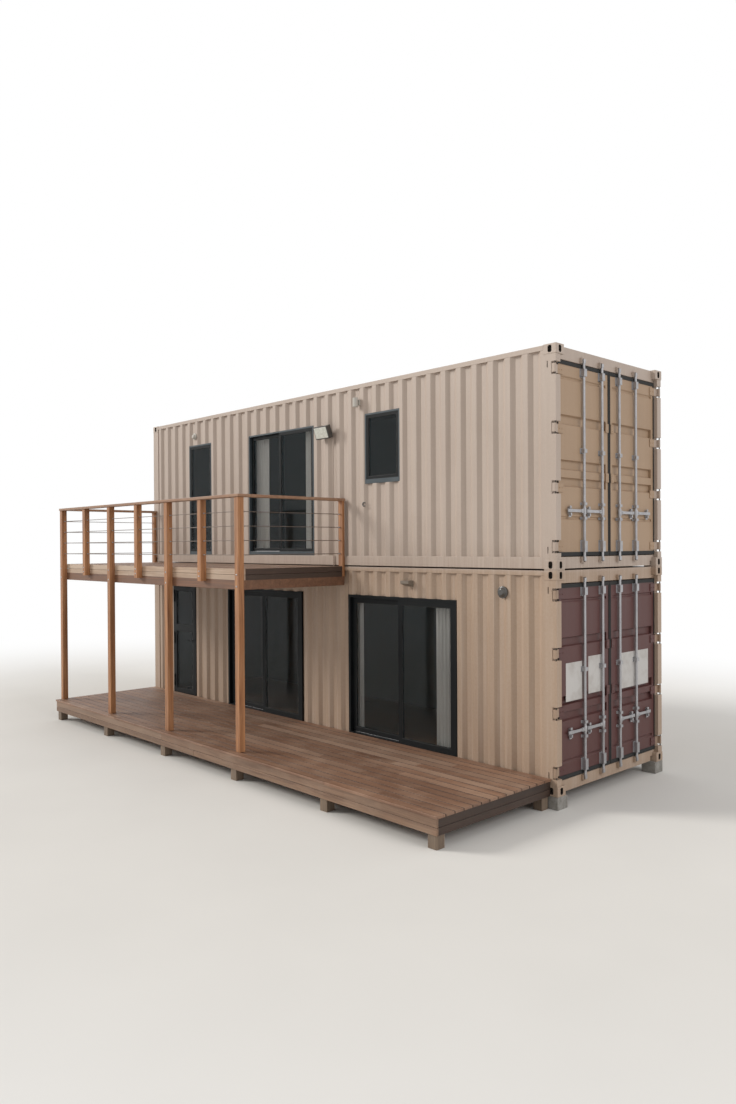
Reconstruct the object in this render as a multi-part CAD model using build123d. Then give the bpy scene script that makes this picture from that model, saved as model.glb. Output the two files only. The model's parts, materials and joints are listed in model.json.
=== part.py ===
from build123d import *
import os
from math import ceil, cos, pi

# A two-storey cabin: two freight containers, one on the other, with a timber deck along the front,
# a timber balcony over its left part, glazed doors cut into the front wall and the cargo doors kept.
# +X points to the cargo doors, -Y to the deck, +Z up. The origin is on the ground under the middle.

# Sides of the bars that stand for plain round ones
bar_sides = 8

# Container
container_length = 9125.0
container_width = 2438.0
container_height = 2591.0
storeys = 2
storey_gap = 0.3
footing_height = 150.0
footing_size = 200.0
casting_length = 178.0
casting_width = 162.0
casting_height = 118.0
casting_slot_length = 80.0
casting_slot_width = 50.0
casting_slot_corner = 14.0
casting_slot_depth = 45.0
casting_proud = 4.0
casting_drop = 12.5
post_thickness = 6.0
door_post_across = 100.0
door_post_inset = 10.0
post_slot_length = 75.0
post_slot_width = 12.0
post_slot_heights = (230.0, container_height - 231.0)
door_setback = 64.0
top_rail_size = 60.0
top_rail_thickness = 4.0
top_rail_drop = 6.0
bottom_rail_top = 150.0
bottom_rail_flange = 48.0
bottom_rail_thickness = 5.0
header_foot = container_height - 156.0
header_depth = 90.0
sill_notch_width = 45.0
sill_notch_height = 62.0

# Corrugated sheet
sheet_thickness = 2.0
wave_pitch = 256.0
wave_flat = 72.0
wave_depth = 36.0
wave_phase = 30.0
back_wave_pitch = 384.0
end_wave_pitch = 375.0
roof_wave_pitches = (1200.0, 350.0)
roof_wave_slope = 13.5
roof_wave_depth = 20.0
roof_drop = 8.0

# Floor, lining and ceiling
floor_thickness = 28.0
cross_member_height = 105.0
cross_member_width = 45.0
cross_member_spacing = 600.0
lining_offset = 66.0
lining_thickness = 36.0
lining_gap = 0.5
ceiling_thickness = 20.0
ceiling_drop = 50.0

# Openings in the front wall, measured back from the cargo doors and up from a container's foot
lower_head = container_height - 406.0
upper_head = container_height - 481.0
hinged_door_span = (container_length - 1455.0, container_length - 695.0)
wide_slider_span = (container_length - 4495.0, container_length - 2485.0)
main_slider_span = (1510.0, 3560.0)
balcony_door_span = (container_length - 2010.0, container_length - 1285.0)
balcony_slider_span = (container_length - 4805.0, container_length - 3125.0)
window_span = (2500.0, 3190.0)
window_head = container_height - 441.0
window_foot = window_head - 985.0

# Door and window sections
frame_face = 40.0
upper_frame_face = 24.0
sill_face = 60.0
frame_depth = 88.0
frame_setback = 6.0
frame_fit = 0.5
track_height = 8.0
track_width = 8.0
track_clearance = 0.5
sash_face = 62.0
upper_sash_face = 36.0
sash_depth = 34.0
sash_edge_clearance = 6.0
sash_overlap = 36.0
outer_track = 5.0
inner_track = 47.0
glass_thickness = 20.0
mid_rail_height = 110.0
mid_rail_top = 1450.0
pull_height = 260.0
pull_size = 16.0
pull_stand_off = 24.0
hinged_leaf_depth = 44.0
hinged_leaf_clearance = 5.0
butt_pin_radius = 5.0
butt_knuckle_radius = 8.0
butt_knuckle_length = 70.0
butt_wing = 26.0
butt_wing_thickness = 3.0
butt_pin_stand_off = 10.0
butt_clearance = 0.4
butt_heights = (420.0, 1200.0, lower_head - 205.0)
lever_height = 1190.0
lever_length = 120.0
lever_size = 16.0
lever_stand_off = 45.0

# Cargo doors
leaf_foot = 160.0
leaf_head = container_height - 166.0
leaf_depth = 50.0
leaf_face_setback = 62.0
leaf_edge_clearance = 6.0
leaf_meeting_gap = 10.0
leaf_frame_face = 70.0
leaf_frame_thickness = 4.0
leaf_panel_thickness = 3.0
band_depth = 34.0
band_slope = 14.0
lower_bands = (
    (leaf_head - 195.0, 14.0), (leaf_head - 675.0, 80.0), (1070.0, 80.0), (885.0, 80.0),
    (360.0, 14.0),
)
upper_bands = (
    (leaf_head - 195.0, 14.0), (leaf_head - 680.0, 90.0), (1220.0, 90.0), (1020.0, 80.0),
    (605.0, 14.0),
)
gasket_height = 45.0
gasket_thickness = 6.0
gasket_lip = 22.0

# Locking gear of the cargo doors
rod_setback = 32.0
rod_radius = 17.0
rod_offsets = (200.0, 600.0)
rod_foot = 95.0
rod_head = container_height - 101.0
cam_width = 44.0
cam_behind = 16.0
cam_ahead = 14.0
cam_height = 46.0
keeper_gap = 8.0
keeper_thickness = 12.0
keeper_web = 9.0
keeper_face_setback = 30.0
keeper_foot = (78.0, 148.0)
keeper_head = (container_height - 154.0, container_height - 86.0)
guide_spans = ((205.0, 335.0), (1380.0, 1425.0), (leaf_head - 140.0, leaf_head - 50.0))
guide_width = 60.0
guide_face_setback = 8.0
guide_clearance = 0.5
handle_height = 690.0
handle_length = 350.0
handle_bar_height = 34.0
handle_bar_depth = 12.0
hub_height = 80.0
hub_radius = 24.0
catch_place = 290.0
catch_width = 40.0
catch_height = 90.0
catch_face_setback = 44.0
hinge_heights = (270.0, 950.0, 1630.0, container_height - 281.0)
hinge_notch = 150.0
hinge_notch_depth = 60.0
hinge_blade_height = 100.0
hinge_blade_thickness = 10.0
hinge_blade_reach = 110.0
hinge_pin_radius = 8.0
hinge_pin_inset = 16.0
hinge_pin_setback = 26.0
hinge_knuckle_radius = 14.0
hinge_clearance = 0.4

# Deck, its height measured up from the lower container's foot
deck_depth = 1950.0
deck_rise = 200.0
deck_board = 28.0
deck_end_inset = 90.0
deck_overhang = 12.0
fascia_thickness = 28.0
joist_width = 45.0
joist_spacing = 610.0
foot_size = 120.0
foot_inset = 20.0

# Balcony, its heights measured up from the lower container's foot
balcony_length = 5505.0
balcony_top = container_height - 1.0
balcony_board = 28.0
balcony_fascia_foot = balcony_top - 150.0
balcony_fascia_inset = 10.0
balcony_beam_foot = balcony_fascia_foot - 125.0
beam_thickness = 45.0
post_size = 90.0
post_setback = 100.0
post_bays = 3
short_post_drop = 30.0
handrail_top = balcony_top + 980.0
handrail_thickness = 38.0
handrail_width = 120.0
wall_post_depth = 45.0
cable_radius = 5.0
cable_sides = 6
cable_spacing = 190.0
cable_count = 4

# Small fittings on the front wall, measured back from the cargo doors and up from the lower foot
round_lamp_place = (container_length - 1485.0, 2 * container_height - 327.0)
round_lamp_radius = 60.0
lamp_sides = 12
lamp_glass_share = 0.8
lamp_crown_share = 0.5
dome_lamp_place = (765.0, container_height - 276.0)
dome_lamp_radius = 75.0
lamp_plate_thickness = 20.0
flood_lamp_place = (container_length - 5135.0, 2 * container_height - 626.0)
flood_lamp_size = (300.0, 80.0, 190.0)
flood_lamp_tilt = 20.0
flood_bracket = 45.0
spot_lamp_place = (3315.0, 2 * container_height - 270.0)
spot_lamp_radius = 40.0
spot_lamp_height = 130.0
door_lamp_place = (2330.0, lower_head + 190.0)
door_lamp_size = (150.0, 100.0, 80.0)
hook_place = (3205.0, container_height + 877.0)
hook_radius = 28.0
hook_bar = 6.0
hook_sides = 12
conduit_place = container_length - 5275.0
conduit_radius = 9.0
conduit_gap = 3.0

# Soft furnishings behind the glass
curtain_depth = 60.0
curtain_drop = 40.0
curtain_rail_height = 30.0
curtain_rail_depth = 80.0
curtain_rail_rise = 20.0
lower_gathers = (480.0, 170.0)
upper_gathers = (360.0, 380.0)
blind_height = 130.0

# Planes that follow from the sizes above
x_door = container_length / 2
x_blind = -container_length / 2
x_room = (x_blind + casting_length, x_door - casting_length)
x_leaf = x_door - leaf_face_setback
x_rod = x_door - rod_setback
x_sill = x_door - door_setback
y_front = (deck_depth - container_width) / 2
y_back = y_front + container_width
y_edge = y_front - deck_depth
y_middle = y_front + container_width / 2
y_lining = (y_front + lining_offset, y_front + lining_offset + lining_thickness)
y_frame = (y_front + frame_setback, y_front + frame_setback + frame_depth)
bases = [footing_height + (container_height + storey_gap) * storey for storey in range(storeys)]
lower_base, upper_base = bases
rail_foot = container_height - top_rail_drop - top_rail_size
lining_top = container_height - ceiling_drop - ceiling_thickness
deck_top = lower_base + deck_rise
y_post = (y_edge + post_setback, y_edge + post_setback + post_size)


def block(x, y, z):
    """A box between the low and high values given for each axis."""
    low = (min(x), min(y), min(z))
    size = (abs(x[1] - x[0]), abs(y[1] - y[0]), abs(z[1] - z[0]))
    return Pos(*low) * Box(*size, align=(Align.MIN, Align.MIN, Align.MIN))


def cylinder_z(x, y, z, radius):
    """An upright cylinder between two heights."""
    base = (Align.CENTER, Align.CENTER, Align.MIN)
    return Pos(x, y, z[0]) * Cylinder(radius, z[1] - z[0], align=base)


def bar_z(x, y, z, radius, sides=bar_sides):
    """An upright many-sided bar between two heights, its corners on the given radius."""
    return extrude(Pos(x, y, z[0]) * RegularPolygon(radius, sides), z[1] - z[0])


def bore_z(x, y, z, radius):
    """An upright many-sided bore between two heights, its flats on the radius and facing a bar's corners."""
    section = RegularPolygon(radius, bar_sides, major_radius=False, rotation=180 / bar_sides)
    return extrude(Pos(x, y, z[0]) * section, z[1] - z[0])


def bar_along(start, end, radius, sides):
    """A many-sided bar from one point to another."""
    run = Vector(*end) - Vector(*start)
    return extrude(Plane(origin=start, z_dir=run) * RegularPolygon(radius, sides), run.length)


def from_door(distance):
    """The X of a place that lies this far back from the cargo doors."""
    return x_door - distance


def span_x(span):
    """The low and high X of an opening given by its distances from the cargo doors."""
    return from_door(span[1]), from_door(span[0])


def wave_points(length, pitch, flat, depth, phase):
    """Corners of a trapezoid wave along its length, from 0 to the length, between 0 and -depth."""
    slope = (pitch - 2 * flat) / 2
    corners = []
    for wave in range(-1, ceil(length / pitch) + 1):
        start = wave * pitch + phase
        corners += [(start, 0.0), (start + flat, 0.0), (start + flat + slope, -depth),
                    (start + 2 * flat + slope, -depth)]
    inside = [corner for corner in corners if 0.0 < corner[0] < length]
    before = max(corner for corner in corners if corner[0] <= 0.0)
    after = min(corner for corner in corners if corner[0] >= length)
    first = cut_at(before, inside[0], 0.0)
    last = cut_at(inside[-1], after, length)
    return [first] + inside + [last]


def cut_at(one, other, place):
    """The point where the line between two corners crosses a place along the wave."""
    share = (place - one[0]) / (other[0] - one[0])
    return place, one[1] + share * (other[1] - one[1])


def wave_sheet(plane, points, height):
    """A folded sheet of the real thickness, extruded along the plane's normal."""
    other_side = [(along, across - sheet_thickness) for along, across in reversed(points)]
    outline = make_face(plane * Polyline(*points, *other_side, close=True))
    return extrude(outline, height, plane.z_dir)


def span_box(span, y, z):
    """A block across one opening between the given depths and heights."""
    return block(span_x(span), y, z)


def side_wall(base, toward_y):
    """A whole corrugated side wall between the corner posts, with wider waves along the back."""
    pitch = wave_pitch if toward_y < 0 else back_wave_pitch
    flat = wave_flat + (pitch - wave_pitch) / 2
    points = wave_points(x_room[1] - x_room[0], pitch, flat, wave_depth, wave_phase)
    if toward_y < 0:
        points = [(along, sheet_thickness - across) for along, across in points]
    y = y_middle + toward_y * (container_width / 2 - casting_proud)
    outline = Plane(origin=(x_room[0], y, base + bottom_rail_top), x_dir=(1, 0, 0), z_dir=(0, 0, 1))
    return wave_sheet(outline, points, rail_foot - bottom_rail_top)


def corner_casting(x, y, z, toward_x, toward_y):
    """A cast corner with a slot in its end and its side, and in its top where that is open."""
    solid = Box(casting_length, casting_width, casting_height)
    slot = chamfer(Rectangle(casting_slot_length, casting_slot_width).vertices(), casting_slot_corner)
    depth = casting_slot_depth
    solid -= extrude(Plane.YZ.offset(toward_x * casting_length / 2) * Rot(0, 0, 90) * slot,
                     -toward_x * depth)
    solid -= extrude(Plane.XZ.offset(-toward_y * casting_width / 2) * Rot(0, 0, 90) * slot,
                     toward_y * depth)
    if z > upper_base + container_height / 2:
        solid -= extrude(Plane.XY.offset(casting_height / 2) * slot, -depth)
    return Pos(x, y, z) * solid


def casting_centres(base):
    """Centre and outward directions of a container's eight corner castings."""
    for toward_x in (-1, 1):
        for toward_y in (-1, 1):
            x = toward_x * (container_length - casting_length) / 2
            y = y_middle + toward_y * (container_width - casting_width) / 2
            for z in (casting_height / 2, container_height - casting_height / 2):
                yield x, y, base + z, toward_x, toward_y


def without_castings(solid, base):
    """A long piece cut back where the corner castings are."""
    for x, y, z, _, _ in casting_centres(base):
        solid -= Pos(x, y, z) * Box(casting_length, casting_width, casting_height)
    return solid


def hollow_post(x, y, base):
    """A closed steel tube standing between two corner castings."""
    wall = post_thickness
    z = (base + casting_height, base + container_height - casting_height)
    y = (min(y), max(y))
    return block(x, y, z) - block((x[0] + wall, x[1] - wall), (y[0] + wall, y[1] - wall), z)


def blind_post(base, toward_y):
    """Corner post of the end away from the cargo doors."""
    outer = y_middle + toward_y * (container_width / 2 - casting_proud)
    inner = y_middle + toward_y * (container_width / 2 - casting_width)
    return hollow_post((x_blind + casting_proud, x_room[0]), (outer, inner), base)


def door_post(base, toward_y):
    """Corner post beside the cargo doors, with closed notches where the hinges turn."""
    outer = y_middle + toward_y * (container_width / 2 - casting_proud)
    inner = y_middle + toward_y * (container_width / 2 - door_post_across)
    face = x_door - door_post_inset
    post = hollow_post((x_room[1], face), (outer, inner), base)
    back = face - hinge_notch_depth
    for height in hinge_heights:
        z = (base + height - hinge_notch / 2, base + height + hinge_notch / 2)
        post += block((back - post_thickness, face), (outer, inner),
                      (z[0] - post_thickness, z[1] + post_thickness))
        post -= block((back, face), (outer, inner), z)
    for height in post_slot_heights:
        x = (x_room[1] + x_door - door_post_inset - hinge_notch_depth) / 2
        post -= block((x - post_slot_width / 2, x + post_slot_width / 2),
                      (outer, outer - toward_y * post_thickness),
                      (base + height - post_slot_length / 2, base + height + post_slot_length / 2))
    return post


def hinge_pins(base, toward_y):
    """The pins that stand across the notches of one door post."""
    y = y_middle + toward_y * (container_width / 2 - hinge_pin_inset)
    pins = []
    for height in hinge_heights:
        z = (base + height - hinge_notch / 2, base + height + hinge_notch / 2)
        pins.append(bar_z(x_door - hinge_pin_setback, y, z, hinge_pin_radius))
    return pins


def side_rails(base):
    """Top tubes and bottom channels along both sides of one container."""
    rails = []
    for toward_y in (-1, 1):
        outer = y_middle + toward_y * (container_width / 2 - casting_proud)
        wall = top_rail_thickness
        inner = outer - toward_y * top_rail_size
        z = (base + rail_foot, base + rail_foot + top_rail_size)
        hollow = block(x_room, (outer - toward_y * wall, inner + toward_y * wall), (z[0] + wall, z[1] - wall))
        rails.append(block(x_room, (outer, inner), z) - hollow)
        wall = bottom_rail_thickness
        inner = outer - toward_y * bottom_rail_flange
        z = (base + casting_drop, base + bottom_rail_top)
        hollow = block(x_room, (outer - toward_y * wall, inner), (z[0] + wall, z[1] - wall))
        rails.append(block(x_room, (outer, inner), z) - hollow)
    return rails


def end_beams(base):
    """Door header, door sill with its lashing notches, and the two beams of the blind end."""
    y_doors = (y_front + door_post_across, y_back - door_post_across)
    x = (x_sill - header_depth, x_sill)
    header = block(x, y_doors, (base + header_foot, base + container_height - top_rail_drop))
    sill = block(x, y_doors, (base + casting_drop, base + bottom_rail_top))
    for toward_y in (-1, 1):
        start = y_middle + toward_y * (container_width / 2 - casting_width)
        sill -= block(x, (start, start - toward_y * sill_notch_width),
                      (base + casting_drop, base + casting_drop + sill_notch_height))
    y_ends = (y_front + casting_width, y_back - casting_width)
    x_end = (x_blind + casting_proud, x_blind + casting_proud + top_rail_size)
    top = block(x_end, y_ends, (base + rail_foot, base + rail_foot + top_rail_size))
    foot = block(x_end, y_ends, (base + casting_drop, base + bottom_rail_top))
    return [without_castings(header, base), without_castings(sill, base), top, foot]


def blind_end_wall(base):
    """The corrugated wall across the end away from the cargo doors."""
    length = container_width - 2 * casting_width
    flat = wave_flat + (end_wave_pitch - wave_pitch) / 2
    points = wave_points(length, end_wave_pitch, flat, wave_depth, wave_phase)
    outline = Plane(origin=(x_blind + casting_proud, y_back - casting_width, base + bottom_rail_top),
                    x_dir=(0, -1, 0), z_dir=(0, 0, 1))
    placed = [(along, sheet_thickness - across) for along, across in points]
    return wave_sheet(outline, placed, rail_foot - bottom_rail_top)


def roof(base):
    """The shallow corrugated roof between the top rails, its waves wider where it is covered."""
    inset = casting_proud + top_rail_size
    start = x_blind + inset
    length = x_sill - header_depth - start
    pitch = roof_wave_pitches[bases.index(base)]
    points = wave_points(length, pitch, pitch / 2 - roof_wave_slope, roof_wave_depth, wave_phase)
    outline = Plane(origin=(start, y_back - inset, base + container_height - roof_drop),
                    x_dir=(1, 0, 0), z_dir=(0, -1, 0))
    return without_castings(wave_sheet(outline, points, container_width - 2 * inset), base)


def floor(base):
    """Floor planks between the bottom rails and on to the door sill."""
    inset = casting_proud + bottom_rail_flange
    z = (base + bottom_rail_top - floor_thickness, base + bottom_rail_top)
    planks = block(x_room, (y_front + inset, y_back - inset), z)
    planks += block((x_blind + casting_proud + top_rail_size, x_sill - header_depth),
                    (y_front + casting_width, y_back - casting_width), z)
    return planks


def cross_members(base):
    """Steel joists under the floor, from rail to rail."""
    inset = casting_proud + bottom_rail_flange
    z_top = base + bottom_rail_top - floor_thickness
    count = int((x_room[1] - x_room[0]) // cross_member_spacing)
    first = -(count - 1) / 2 * cross_member_spacing
    half = cross_member_width / 2
    members = []
    for member in range(count):
        x = first + member * cross_member_spacing
        members.append(block((x - half, x + half), (y_front + inset, y_back - inset),
                             (z_top - cross_member_height, z_top)))
    return members


def between_openings(spans, margin):
    """The runs of wall left between the openings, from the blind end to the cargo doors."""
    edges = [x_room[0]]
    for span in sorted(spans, reverse=True):
        low, high = span_x(span)
        edges += [low - margin, high + margin]
    edges.append(x_room[1])
    return list(zip(edges[::2], edges[1::2]))


def wall_panels(sheet, base, spans):
    """The full-height panels of a front wall."""
    y = (y_front, y_front + lining_offset)
    z = (base + bottom_rail_top, base + rail_foot)
    return [sheet & block(run, y, z) for run in between_openings(spans, 0)]


def wall_between(sheet, base, span, low, high):
    """The part of a front wall across one opening between two heights."""
    return sheet & span_box(span, (y_front, y_front + lining_offset), (base + low, base + high))


def linings(base, spans):
    """Insulated lining: slabs between the openings, one along the back and one at the blind end."""
    z = (base + bottom_rail_top, base + lining_top)
    slabs = [block(run, y_lining, z) for run in between_openings(spans, lining_gap)]
    back = (y_back - lining_offset - lining_thickness, y_back - lining_offset)
    slabs.append(block(x_room, back, z))
    slabs.append(block((x_room[0], x_room[0] + lining_thickness),
                       (y_lining[1] + lining_gap, back[0] - lining_gap), z))
    return slabs


def ceiling(base):
    """Ceiling board laid on the lining."""
    return block(x_room, (y_front + lining_offset, y_back - lining_offset),
                 (base + lining_top, base + lining_top + ceiling_thickness))


def frame_bar(base):
    """Width of the frame bars on one storey."""
    return upper_frame_face if base == upper_base else frame_face


def sash_bar(base):
    """Width of the sash bars on one storey."""
    return upper_sash_face if base == upper_base else sash_face


def frame_members(base, span, low, high):
    """The two jambs, the head and the sill of one opening."""
    face = frame_bar(base)
    x0, x1 = span_x(span)
    x = (x0 + frame_fit, x1 - frame_fit)
    z = (base + low, base + high - frame_fit)
    inner = (x[0] + face, x[1] - face)
    jambs = [block((x[0], inner[0]), y_frame, z), block((inner[1], x[1]), y_frame, z)]
    head = block(inner, y_frame, (z[1] - face, z[1]))
    sill = block(inner, y_frame, (z[0], z[0] + sill_face))
    return jambs, head, sill


def clear_opening(base, span, low, high):
    """The clear width and height inside an opening's frame."""
    x0, x1 = span_x(span)
    margin = frame_fit + frame_bar(base)
    return (x0 + margin, x1 - margin), (base + low + sill_face, base + high - margin)


def sash(x, y, z, face, rails=()):
    """One glazed sash and its panes, with a cross rail between each pair of given heights."""
    frame = block(x, y, z)
    panes = []
    inner_x = (x[0] + face, x[1] - face)
    middle = (y[0] + y[1]) / 2
    glass_y = (middle - glass_thickness / 2, middle + glass_thickness / 2)
    edges = [z[0] + face, *rails, z[1] - face]
    for foot, head in zip(edges[::2], edges[1::2]):
        frame -= block(inner_x, y, (foot, head))
        panes.append(block(inner_x, glass_y, (foot, head)))
    return frame, panes


def slider(base, span, high):
    """Track, fixed sash on the outer side and moving sash on the inner side of one sliding door."""
    x, z = clear_opening(base, span, bottom_rail_top, high)
    middle = (x[0] + x[1]) / 2
    face = sash_bar(base)
    outer = (y_frame[0] + outer_track, y_frame[0] + outer_track + sash_depth)
    inner = (y_frame[0] + inner_track, y_frame[0] + inner_track + sash_depth)
    fixed = sash((middle - sash_overlap / 2, x[1]), outer, z, face)
    moving_x = (x[0] + sash_edge_clearance, middle + sash_overlap / 2)
    moving_z = (z[0] + track_height + track_clearance, z[1] - sash_edge_clearance)
    leaf, panes = sash(moving_x, inner, moving_z, face)
    track_y = (inner[0] + sash_depth / 2 - track_width / 2, inner[0] + sash_depth / 2 + track_width / 2)
    track = block(x, track_y, (z[0], z[0] + track_height))
    grip_x = moving_x[0] + face / 2
    grip_z = (z[0] + z[1]) / 2
    leaf += pull(grip_x, inner[1], grip_z)
    return track, fixed, (leaf, panes)


def pull(x, y, z):
    """An upright bow pull on the room side of a sliding sash."""
    half = pull_size / 2
    outline = block((x - half, x + half), (y, y + pull_stand_off), (z - pull_height / 2, z + pull_height / 2))
    return outline - block((x - half, x + half), (y, y + pull_stand_off - half),
                           (z - pull_height / 2 + pull_size, z + pull_height / 2 - pull_size))


def hinged_leaf(base, span, high):
    """A half-glazed outward-opening door with its lever and the hinge knuckles it carries."""
    x, z = clear_opening(base, span, bottom_rail_top, high)
    gap = hinged_leaf_clearance
    leaf_x = (x[0] + gap, x[1] - gap)
    leaf_y = (y_frame[0], y_frame[0] + hinged_leaf_depth)
    leaf_z = (z[0] + gap, z[1] - gap)
    rails = (base + mid_rail_top - mid_rail_height, base + mid_rail_top)
    leaf, panes = sash(leaf_x, leaf_y, leaf_z, sash_face, rails)
    half = lever_size / 2
    lever_x = leaf_x[1] - sash_face / 2
    lever_z = (base + lever_height - half, base + lever_height + half)
    for face, out in ((leaf_y[0], -1), (leaf_y[1], 1)):
        end = face + out * lever_stand_off
        leaf += block((lever_x - half, lever_x + half), (face, end), lever_z)
        leaf += block((lever_x - lever_length, lever_x + half), (end - out * lever_size, end), lever_z)
    return leaf, panes


def butt_pin_place(base, span):
    """Where the pin line of the hinged door stands."""
    x, _ = clear_opening(base, span, bottom_rail_top, lower_head)
    return x[0] + hinged_leaf_clearance / 2, y_frame[0] - butt_pin_stand_off


def butt_hinges(base, span):
    """Knuckles and wings of the hinged door: those on the jamb with the pins, and those on the leaf."""
    x, y = butt_pin_place(base, span)
    wing_y = (y_frame[0] - butt_wing_thickness, y_frame[0])
    length = butt_knuckle_length
    fixed = []
    moving = []
    for height in butt_heights:
        z = base + height
        jamb_side = bar_z(x, y, (z - 1.5 * length, z + 1.5 * length), butt_knuckle_radius)
        jamb_side += block((x - butt_wing, x), (y, wing_y[1]), (z - 1.5 * length, z + 1.5 * length))
        jamb_side -= block((x - 2 * butt_wing, x + 2 * butt_wing), (y - butt_wing, y + butt_wing),
                           (z - length / 2, z + length / 2))
        jamb_side += bar_z(x, y, (z - length / 2, z + length / 2), butt_pin_radius)
        fixed.append(jamb_side)
        turn = (z - length / 2 + butt_clearance, z + length / 2 - butt_clearance)
        knuckle = cylinder_z if height == butt_heights[0] else bar_z
        leaf_side = knuckle(x, y, turn, butt_knuckle_radius)
        leaf_side += block((x, x + butt_wing), (y, wing_y[1]), turn)
        leaf_side -= bore_z(x, y, turn, butt_pin_radius + butt_clearance)
        moving.append(leaf_side)
    return fixed, moving


def leaf_span(toward_y):
    """The width of one cargo leaf, from beside its post to the meeting line."""
    edge = y_middle + toward_y * (container_width / 2 - door_post_across - leaf_edge_clearance)
    return edge, y_middle + toward_y * leaf_meeting_gap / 2


def cargo_leaf(base, toward_y, bands):
    """A cargo door leaf: a channel frame and a sheet pressed into horizontal bands."""
    y = leaf_span(toward_y)
    z = (base + leaf_foot, base + leaf_head)
    x = (x_leaf - leaf_depth, x_leaf)
    face = leaf_frame_face
    inner_y = (min(y) + face, max(y) - face)
    frame = block(x, y, z) - block(x, inner_y, (z[0] + face, z[1] - face))
    profile = [(x_leaf, z[0] + face)]
    for height, width in sorted(bands):
        deep = x_leaf - min(band_depth, width)
        foot = base + height - width / 2
        head = base + height + width / 2
        profile += [(x_leaf, foot - band_slope), (deep, foot), (deep, head), (x_leaf, head + band_slope)]
    profile.append((x_leaf, z[1] - face))
    inside = [(place - leaf_panel_thickness, height) for place, height in reversed(profile)]
    outline = make_face(Plane.XZ * Polyline(*profile, *inside, close=True))
    panel = Pos(0, inner_y[0], 0) * extrude(outline, inner_y[1] - inner_y[0], (0, 1, 0))
    return frame + panel


def rod_places(toward_y):
    """The Y of the two lock rods of one leaf, the inner one first."""
    return [y_middle + toward_y * offset for offset in rod_offsets]


def lock_rod(base, y, toward_hinge):
    """A lock rod with a cam at each end, the half-round handle hub and the handle bar."""
    rod = bar_z(x_rod, y, (base + rod_foot, base + rod_head), rod_radius)
    half = cam_width / 2
    for foot in (rod_foot, rod_head - cam_height):
        rod += block((x_rod - cam_behind, x_rod + cam_ahead), (y - half, y + half),
                     (base + foot, base + foot + cam_height))
    middle = base + handle_height
    round_bar = cylinder_z if base == lower_base else bar_z
    hub = round_bar(x_rod, y, (middle - hub_height / 2, middle + hub_height / 2), hub_radius)
    rod += hub & block((x_rod, x_rod + hub_radius), (y - hub_radius, y + hub_radius),
                       (middle - hub_height, middle + hub_height))
    rod += block((x_rod - handle_bar_depth / 2, x_rod + handle_bar_depth / 2),
                 (y, y + toward_hinge * handle_length),
                 (middle - handle_bar_height / 2, middle + handle_bar_height / 2))
    return rod


def keepers(base, toward_y):
    """The forked keepers on the header and the sill that hold one leaf's cams."""
    forks = []
    gap = cam_width / 2 + keeper_gap
    x = (x_sill, x_door - keeper_face_setback)
    for y in rod_places(toward_y):
        outer = (y - gap - keeper_thickness, y + gap + keeper_thickness)
        foot = block(x, outer, (base + keeper_foot[0], base + keeper_foot[1]))
        foot -= block(x, (y - gap, y + gap), (base + keeper_foot[0] + keeper_web, base + keeper_foot[1]))
        head = block(x, outer, (base + keeper_head[0], base + keeper_head[1]))
        head -= block(x, (y - gap, y + gap), (base + keeper_head[0], base + keeper_head[1] - keeper_web))
        forks += [foot, head]
    return forks


def rod_guides(base, toward_y):
    """The bearing blocks that hold the rods on one leaf."""
    guides = []
    half = guide_width / 2
    bore = rod_radius + guide_clearance
    for y in rod_places(toward_y):
        for low, high in guide_spans:
            z = (base + low, base + high)
            guide = block((x_leaf, x_door - guide_face_setback), (y - half, y + half), z)
            guides.append(guide - block((x_rod - bore, x_rod + bore), (y - bore, y + bore), z))
    return guides


def hinge_blades(base, toward_y):
    """The four hinges of one leaf: a blade on its face and a knuckle, the foot one round if it opens."""
    pin_x = x_door - hinge_pin_setback
    pin_y = y_middle + toward_y * (container_width / 2 - hinge_pin_inset)
    edge, _ = leaf_span(toward_y)
    blades = []
    for height in hinge_heights:
        z = (base + height - hinge_blade_height / 2, base + height + hinge_blade_height / 2)
        radius = hinge_knuckle_radius
        blade = block((x_leaf, x_leaf + hinge_blade_thickness),
                      (pin_y + toward_y * radius, edge - toward_y * hinge_blade_reach), z)
        blade += block((x_leaf, pin_x), (pin_y - radius, pin_y + radius), z)
        knuckle = cylinder_z if base == lower_base and height == hinge_heights[0] else bar_z
        blade += knuckle(pin_x, pin_y, z, radius)
        blades.append(blade - bore_z(pin_x, pin_y, z, hinge_pin_radius + hinge_clearance))
    return blades


def handle_catches(base, toward_y):
    """The small catches on a leaf behind the ends of the handles."""
    catches = []
    z = (base + handle_height - catch_height / 2, base + handle_height + catch_height / 2)
    for y in rod_places(toward_y):
        middle = y + toward_y * catch_place
        catches.append(block((x_leaf, x_door - catch_face_setback),
                             (middle - catch_width / 2, middle + catch_width / 2), z))
    return catches


def leaf_fittings(base, toward_y):
    """The steel pieces fixed to the face of one leaf."""
    return rod_guides(base, toward_y) + hinge_blades(base, toward_y) + handle_catches(base, toward_y)


def gasket(base, toward_y):
    """The rubber lip along the top, the bottom and the meeting edge of one leaf."""
    edge, meeting = leaf_span(toward_y)
    x = (x_leaf, x_leaf + gasket_thickness)
    z = (base + leaf_foot, base + leaf_head)
    lip = block(x, (edge, meeting), z)
    return [lip - block(x, (edge, meeting + toward_y * gasket_lip),
                        (z[0] + gasket_height, z[1] - gasket_height))]


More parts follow.
